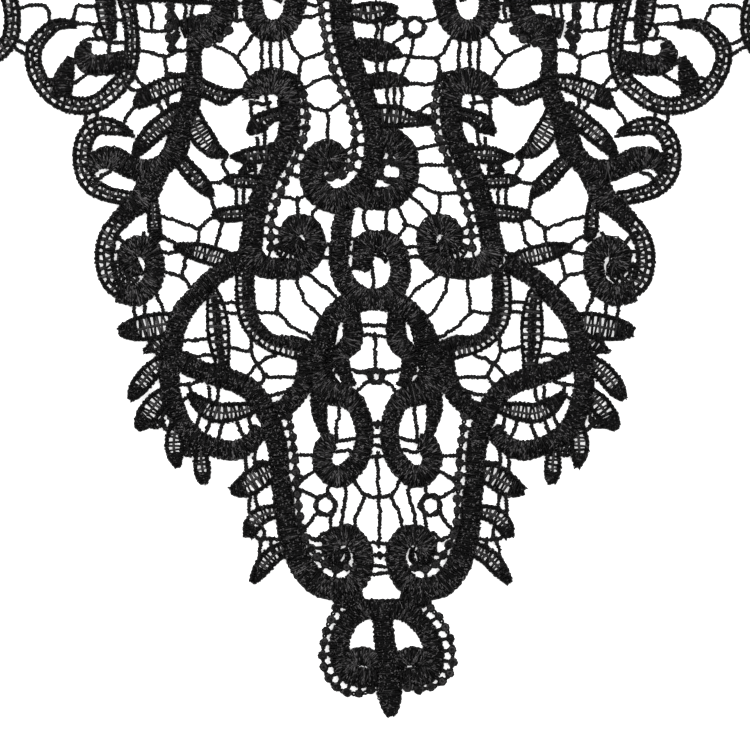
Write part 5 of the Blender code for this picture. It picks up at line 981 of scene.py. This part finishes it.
def picots(stitching, line, cords):
    """A row of knots on a linking thread, tied to the cord beside them."""
    rows = spaced(line, PICOT_PITCH)
    across, along = sideways(rows)
    for number in range(len(rows)):
        angle = math.atan2(along[number, 1], along[number, 0]) + rng.normal(0, 0.2)
        spot = rows[number] + rng.normal(0, 0.08, 2)
        long = 2.3 * rng.uniform(0.9, 1.1)
        wide = 2.3 * rng.uniform(0.9, 1.1)
        knot(stitching, spot[0], spot[1], angle, long, wide, 1.1)
        winding(stitching, spot[0], spot[1], angle, long, wide, 1.1)
    fine = spaced(line, 0.5)
    wide, _ = sideways(fine)
    steps = np.concatenate(([0.0], np.cumsum(np.hypot(*(fine[1:] - fine[:-1]).T))))
    for sign in (-1, 1):
        wave = sign * 0.4 * np.cos(steps / PICOT_PITCH * 2 * math.pi)
        thread(stitching, fine + wide * wave[:, None], 0.3, 0.6, 4, 0.03, 0.2)
    for number in range(len(rows)):
        spot = rows[number]
        ways = []
        for side in (1, -1):
            beside = cords[(cords - spot) @ across[number] * side > 0.5]
            if len(beside):
                ways.append(beside[int(np.argmin(np.hypot(*(beside - spot).T)))] - spot)
        near = min(np.hypot(*way) for way in ways)
        for way in ways:
            reach = np.hypot(*way)
            if not 1.0 < reach < (6.8 if reach == near else 5.2):
                continue
            end = spot + way * min(1.0, (reach - 1.2) / reach)
            for shift in (-0.28, 0.28):
                middle = (spot + end) / 2 + along[number] * (shift * 0.7)
                thread(stitching, [spot, middle, end + along[number] * shift * 1.6], 0.36, 0.6, 5, 0.0, 0.2)


def net(stitching, line):
    """A filling of thick crossed threads that leaves a row of small holes."""
    across, _ = sideways(line)
    for sign in (1, -1):
        width = np.minimum(0.9, line[:, 2] * 0.5)
        inner = np.maximum(line[:, 2] / 2 - width / 2, 0.05)
        edge_cord(stitching, np.column_stack([line[:, :2] + across * (inner * sign)[:, None], width]))
    rungs(stitching, line, 1.25, 0.46, 0.9, -0.9, 0.3)


def ring_chain(out, up, radius):
    turns = np.linspace(0, 2 * math.pi, 15)
    return [(out + radius * math.cos(t), up + radius * math.sin(t), 0.0) for t in turns]


def seam_height(out):
    return float(np.interp(abs(out), [row[0] for row in YOKE_SEAM], [row[1] for row in YOKE_SEAM]))


ARM_PATH = [(along, *arm_middle(along, arm_distances())) for along in np.arange(-40, 150, 1.0)]


def node_of(out, up):
    """The CAD node that a place in the pattern belongs to."""
    if up < DROP_SEAM_UP:
        return "drop"
    if up < seam_height(out):
        return "bib"
    side = "left" if out < 3.2 else "right"
    path = np.array(ARM_PATH)
    along = path[int(np.argmin(np.hypot(path[:, 1] - abs(out), path[:, 2] - up))), 0]
    if along < 0:
        return side + "_yoke"
    return side + "_arm_" + str(min(int(along / REPEAT_LENGTH), ARM_REPEATS - 1) + 1)


def by_node(rows, side, step=0.45):
    """A stroke, rounded and cut where it passes from node to node, laid on the table."""
    line = smooth(rows, step)
    line[:, 2] = np.maximum(line[:, 2], 0.1)
    names = [node_of(side * spot[0], spot[1]) for spot in line[::4]]
    names = [names[n // 4] for n in range(len(line))]
    start = 0
    for number in range(1, len(line) + 1):
        if number == len(line) or names[number] != names[start]:
            run = lay(line[max(start - 1, 0):min(number + 1, len(line))], side)
            if len(run) > 2:
                yield names[start], run
            start = number


PIECES = {}


def piece(node, kind, side):
    """The stitching that a stroke goes into: the large bib is worked in several pieces."""
    if node == "bib":
        half = {1: "right", -1: "left", 0: "middle"}[side]
        key = ("bib", "_".join(("bib", kind, half)))
    else:
        key = (node, node + ("_threads" if kind == "threads" else "_lace"))
    return PIECES.setdefault(key, Stitching(plain=node not in ("bib", "drop")))


def work_satin(rows, side, half, kind="cords", rise=SATIN_RISE):
    for node, run in by_node(rows, side):
        lift = rng.uniform(-0.1, 0.12)
        run = run * np.array([1.0, 1.0, CORD_FULLNESS])
        piece(node, kind, half).worked += worked_area(run)
        satin(piece(node, kind, half), run, rise=rise + lift)


def work_band(rows, side, half, style):
    whole = lay(smooth(rows, 1.0), side)
    across, _ = sideways(whole)
    away = whole[:, :2] - whole[:, :2].mean(axis=0)
    outer = 1 if (across * away).sum() > 0 else -1
    for node, run in by_node(rows, side):
        if len(run) > 6:
            piece(node, "leaves", half).worked += worked_area(run)
            band(piece(node, "leaves", half), run, style, outer)


def beyond(before, end):
    """A place a little past the end of a bar, so that it reaches into what it is tied to."""
    way = np.array(end[:2]) - np.array(before[:2])
    spot = np.array(end[:2]) + way / np.hypot(*way) * BAR_REACH
    return spot[0], spot[1], 1.0


def work_bar(chain, side, half, ply=BAR_PLY, knots=True):
    rows = [(out, up, 1.0) for out, up in chain]
    if len(rows) == 2:
        middle = (np.array(rows[0]) + np.array(rows[1])) / 2
        sway = rng.normal(0, 0.15, 2)
        rows = [rows[0], (middle[0] + sway[0], middle[1] + sway[1], 1.0), rows[1]]
    if knots:
        rows = [beyond(rows[1], rows[0])] + rows + [beyond(rows[-2], rows[-1])]
    for node, run in by_node(rows, side):
        if len(run) > 3:
            bar(piece(node, "threads", half), run[:, :2], ply)
    for spot in chain[1:-1] if knots else ():
        stitching = piece(node_of(side * spot[0], spot[1]), "threads", half)
        if not stitching.plain:
            x, y = lay([spot], side)[0]
            knot(stitching, x, y, rng.uniform(0, 3), 1.3, 1.2, 1.0)


def work_ring(out, up, radius, side, half):
    chain = [(a, b) for a, b, _ in ring_chain(out, up, radius)]
    for extra in (-0.24, 0.24):
        wide = [(out + (a - out) * (1 + extra / radius), up + (b - up) * (1 + extra / radius)) for a, b in chain]
        work_bar(wide, side, half, 0.27, knots=False)
    for turn in np.arange(6) * math.pi / 3:
        x, y = lay([(out + radius * math.cos(turn), up + radius * math.sin(turn))], side)[0]
        stitching = piece(node_of(side * out, up), "threads", half)
        if not stitching.plain:
            knot(stitching, x, y, turn, 1.7, 1.7, 1.0)


def cord_places():
    """Places along the middle of every satin cord, for what is tied to them."""
    lines = [lay(smooth(rows, 0.8), side)[:, :2] for rows in PAIRED_CORDS.values() for side in (1, -1)]
    lines += [lay(smooth(rows, 0.8))[:, :2] for rows in MIDDLE_CORDS.values()]
    return np.concatenate(lines)


def work_picots(chain, side, half, cords):
    rows = [(out, up, 1.0) for out, up in chain]
    for node, run in by_node(rows, side):
        if len(run) > 3:
            picots(piece(node, "threads", half), run[:, :2], cords)


def work_net(rows, side, half):
    for node, run in by_node(rows, side):
        if len(run) > 3:
            net(piece(node, "threads", half), run)


def work_lace():
    cords = cord_places()
    for side in (1, -1):
        for rows in PAIRED_CORDS.values():
            work_satin(rows, side, side)
        for name, rows in PAIRED_BANDS.items():
            work_band(rows, side, side, BAND_STYLES.get(name, "lobe"))
        for style, rows in PAIRED_LEAVES.values():
            work_band(rows, side, side, style)
        for name, rows in PAIRED_NETS.items():
            if name == "drop_join":
                work_band(rows, side, side, "close")
            else:
                work_net(rows, side, side)
        for chain in PAIRED_BARS + YOKE_BARS:
            work_bar(chain, side, side)
        for ring in PAIRED_RINGS:
            work_ring(*ring, side, side)
        for chain in PAIRED_PICOTS:
            work_picots(chain, side, side, cords)
        for repeat in range(ARM_REPEATS):
            work_arm(repeat, side)
    for rows in MIDDLE_CORDS.values():
        work_satin(rows, 1, 0)
    work_satin(LOW_RING_END, 1, -1)
    for style, rows in MIDDLE_LEAVES.values():
        work_band(rows, 1, 0, style)
    for rows in MIDDLE_NETS.values():
        work_net(rows, 1, 0)
    for chain in MIDDLE_BARS:
        work_bar(chain, 1, 0)
    for ring in MIDDLE_RINGS:
        work_ring(*ring, 1, 0)
    for chain in MIDDLE_PICOTS:
        work_picots(chain, 1, 0, cords)


def work_arm(repeat, side):
    start = repeat * REPEAT_LENGTH

    def turned(rows):
        return [(*arm_point(start + along, across), *rest) for along, across, *rest in rows]

    for rows in ARM_CORDS.values():
        work_satin(turned(rows), side, side)
    for rows in ARM_BANDS.values():
        work_band(turned(rows), side, side, "lobe")
    for style, rows in ARM_LEAVES.values():
        work_band(turned(rows), side, side, style)
    for chain in ARM_BARS:
        if repeat < ARM_REPEATS - 1 or max(along for along, _ in chain) <= REPEAT_LENGTH:
            work_bar(turned(chain), side, side)
    if repeat == ARM_REPEATS - 1:
        work_satin(turned(ARM_END), side, side)


def black_thread(name, glint_grey, rough, scale):
    """Black rayon thread: dark body, with paler crests and a soft sheen along the stitches painted into the base
    colour as painted highlight, from the per-vertex painted glint values times a fine noise; the shader adds a little
    real specular sheen.
    """
    material = bpy.data.materials.new(name)
    material.use_nodes = True
    nodes = material.node_tree.nodes
    links = material.node_tree.links
    shader = nodes["Principled BSDF"]
    shader.inputs["Specular IOR Level"].default_value = 0.08
    place = nodes.new("ShaderNodeTexCoord")
    # Per-vertex painted glint values from the mesh: how much painted highlight each spot gets, paler on thread tops
    # and in random spots.
    crest = nodes.new("ShaderNodeAttribute")
    crest.attribute_name = "crest"
    # A fine noise that breaks up the painted highlight and also drives the bump.
    glint_and_bump_noise = nodes.new("ShaderNodeTexNoise")
    glint_and_bump_noise.inputs["Scale"].default_value = 2100 * scale
    glint_and_bump_noise.inputs["Detail"].default_value = 3
    links.new(place.outputs["Object"], glint_and_bump_noise.inputs["Vector"])
    patch = nodes.new("ShaderNodeTexNoise")
    patch.inputs["Scale"].default_value = 60 * scale
    patch.inputs["Detail"].default_value = 2
    links.new(place.outputs["Object"], patch.inputs["Vector"])
    # Painted glint value times the fine noise gives the amount of painted highlight.
    mixed = nodes.new("ShaderNodeMath")
    mixed.operation = "MULTIPLY"
    links.new(crest.outputs["Fac"], mixed.inputs[0])
    links.new(glint_and_bump_noise.outputs["Fac"], mixed.inputs[1])
    # The ramp paints the base colour from near black up to glint_grey: the grey end is painted highlight, not the
    # thread's own colour.
    tone = nodes.new("ShaderNodeValToRGB")
    tone.color_ramp.elements[0].position = 0.08
    tone.color_ramp.elements[0].color = (0.0015, 0.0014, 0.0015, 1)
    tone.color_ramp.elements[1].position = 0.56
    tone.color_ramp.elements[1].color = (glint_grey, glint_grey * 0.965, glint_grey * 0.985, 1)
    links.new(mixed.outputs[0], tone.inputs["Fac"])
    links.new(tone.outputs["Color"], shader.inputs["Base Color"])
    rougher = nodes.new("ShaderNodeMapRange")
    rougher.inputs["To Min"].default_value = rough - 0.1
    rougher.inputs["To Max"].default_value = rough + 0.12
    links.new(patch.outputs["Fac"], rougher.inputs["Value"])
    links.new(rougher.outputs["Result"], shader.inputs["Roughness"])
    bump = nodes.new("ShaderNodeBump")
    bump.inputs["Strength"].default_value = 0.8
    bump.inputs["Distance"].default_value = 0.0002
    links.new(glint_and_bump_noise.outputs["Fac"], bump.inputs["Height"])
    links.new(bump.outputs["Normal"], shader.inputs["Normal"])
    return material


def finish_piece(node, name, stitching, material):
    spots = np.concatenate(stitching.spots)
    faces = np.concatenate(stitching.faces)
    values = np.concatenate(stitching.values)
    spots = (spots + np.array([0.0, FOOT, 0.0])) / 1000
    mesh = bpy.data.meshes.new(name)
    triangle = faces[:, 0] == faces[:, 3]
    counts = np.where(triangle, 3, 4)
    flat = faces.reshape(-1)[np.repeat(~triangle, 4) | (np.arange(faces.size) % 4 < 3)]
    mesh.vertices.add(len(spots))
    mesh.vertices.foreach_set("co", spots.reshape(-1))
    mesh.loops.add(len(flat))
    mesh.loops.foreach_set("vertex_index", flat.astype(np.int32))
    mesh.polygons.add(len(faces))
    mesh.polygons.foreach_set("loop_start", np.concatenate(([0], np.cumsum(counts)[:-1])).astype(np.int32))
    mesh.polygons.foreach_set("loop_total", counts.astype(np.int32))
    mesh.update(calc_edges=True)
    mesh.validate()
    # Stores the per-vertex painted glint values, which the thread material turns into painted highlight in the base
    # colour.
    crest = mesh.attributes.new("crest", "FLOAT", "POINT")
    crest.data.foreach_set("value", values.astype(np.float32))
    mesh.polygons.foreach_set("use_smooth", np.ones(len(mesh.polygons), bool))
    item = bpy.data.objects.new(name, mesh)
    bpy.context.scene.collection.objects.link(item)
    mesh.materials.append(material)
    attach(item, "root")
    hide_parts(node)
    triangles = int((counts - 2).sum())
    area = sum(polygon.area for polygon in mesh.polygons)
    wide = spots.max(axis=0) - spots.min(axis=0)
    print(name, "triangles", triangles, "surface", round(area, 5), "share of box", round(area / 2 / wide[0] / wide[1], 3))
    return item, triangles


# How much of its box the cut of each stretch fills: the outline of the V, of the arms and of the drop.
CUT_SHARE = {
    "cords_left": 0.55, "cords_right": 0.55, "cords_middle": 1.0, "leaves_middle": 0.9, "leaves": 0.52,
    "left_yoke": 0.53, "right_yoke": 0.61, "arm_1": 0.54, "arm_2": 0.7, "arm_3": 0.79, "arm_4": 0.69,
}


def lay_sheet(items):
    """Looks up how much of its box the cut of each lace piece of one stretch fills; the value is not used further."""
    lace = [item for item in items if "threads" not in item.name]
    for number, item in enumerate(lace):
        share = next(share for kind, share in CUT_SHARE.items() if kind in item.name)


def add_floor():
    bpy.ops.object.select_all(action="DESELECT")
    bpy.ops.mesh.primitive_plane_add(size=3.0, location=(0, 0, -0.0006))
    floor = bpy.context.object
    floor.name = "floor"
    paper = bpy.data.materials.new("white_paper")
    paper.use_nodes = True
    shader = paper.node_tree.nodes["Principled BSDF"]
    shader.inputs["Base Color"].default_value = (0.96, 0.96, 0.96, 1)
    shader.inputs["Roughness"].default_value = 0.9
    shader.inputs["Specular IOR Level"].default_value = 0.05
    shader.inputs["Emission Color"].default_value = (1, 1, 1, 1)
    shader.inputs["Emission Strength"].default_value = 0.55
    floor.data.materials.append(paper)


def add_light(name, place, size, power, aim=(0, -0.05, 0)):
    data = bpy.data.lights.new(name, "AREA")
    data.energy = power
    data.size = size
    item = bpy.data.objects.new(name, data)
    bpy.context.scene.collection.objects.link(item)
    item.location = place
    item.rotation_euler = (Vector(aim) - Vector(place)).to_track_quat("-Z", "Y").to_euler()


def light_and_camera():
    world = bpy.data.worlds.new("studio")
    bpy.context.scene.world = world
    world.use_nodes = True
    world.node_tree.nodes["Background"].inputs["Color"].default_value = (1, 1, 1, 1)
    world.node_tree.nodes["Background"].inputs["Strength"].default_value = 0.75
    add_light("key", (-0.35, 0.45, 0.7), 0.35, 9)
    add_light("fill", (0.5, -0.2, 0.8), 0.6, 4)
    data = bpy.data.cameras.new("camera")
    camera = bpy.data.objects.new("camera", data)
    bpy.context.scene.collection.objects.link(camera)
    height = 1.2
    camera.location = (-0.0005, (85.75 + FOOT) / 1000, height)
    data.sensor_width = 36
    data.lens = 36 * height / 0.1875
    data.clip_start = 0.01
    bpy.context.scene.camera = camera
    scene = bpy.context.scene
    scene.view_settings.view_transform = "Standard"
    scene.view_settings.look = "None"
    scene.render.resolution_x = 750
    scene.render.resolution_y = 750


YOKE_SEAM = ((0, 182), (12.6, 182), (14.8, 188), (79, 188), (83.4, 190), (83.6, 196.4), (135, 190))


def main():
    work_lace()
    thread_of = {
        "cords": black_thread("satin_thread", 0.1, 0.5, 1.0),
        "leaves": black_thread("mesh_thread", 0.08, 0.56, 1.1),
        "threads": black_thread("twisted_thread", 0.06, 0.6, 1.2),
        "lace": black_thread("collar_thread", 0.09, 0.54, 1.0),
    }
    made = {}
    total = 0
    for (node, name), stitching in sorted(PIECES.items()):
        kind = next(kind for kind in thread_of if kind in name)
        item, triangles = finish_piece(node, name, stitching, thread_of[kind])
        total += triangles
        made.setdefault(node, []).append(item)
    print("triangles in all", total)
    bpy.context.view_layer.update()
    for node, items in made.items():
        if node != "drop":
            lay_sheet(items)
    add_floor()
    light_and_camera()
    return made


made = main()
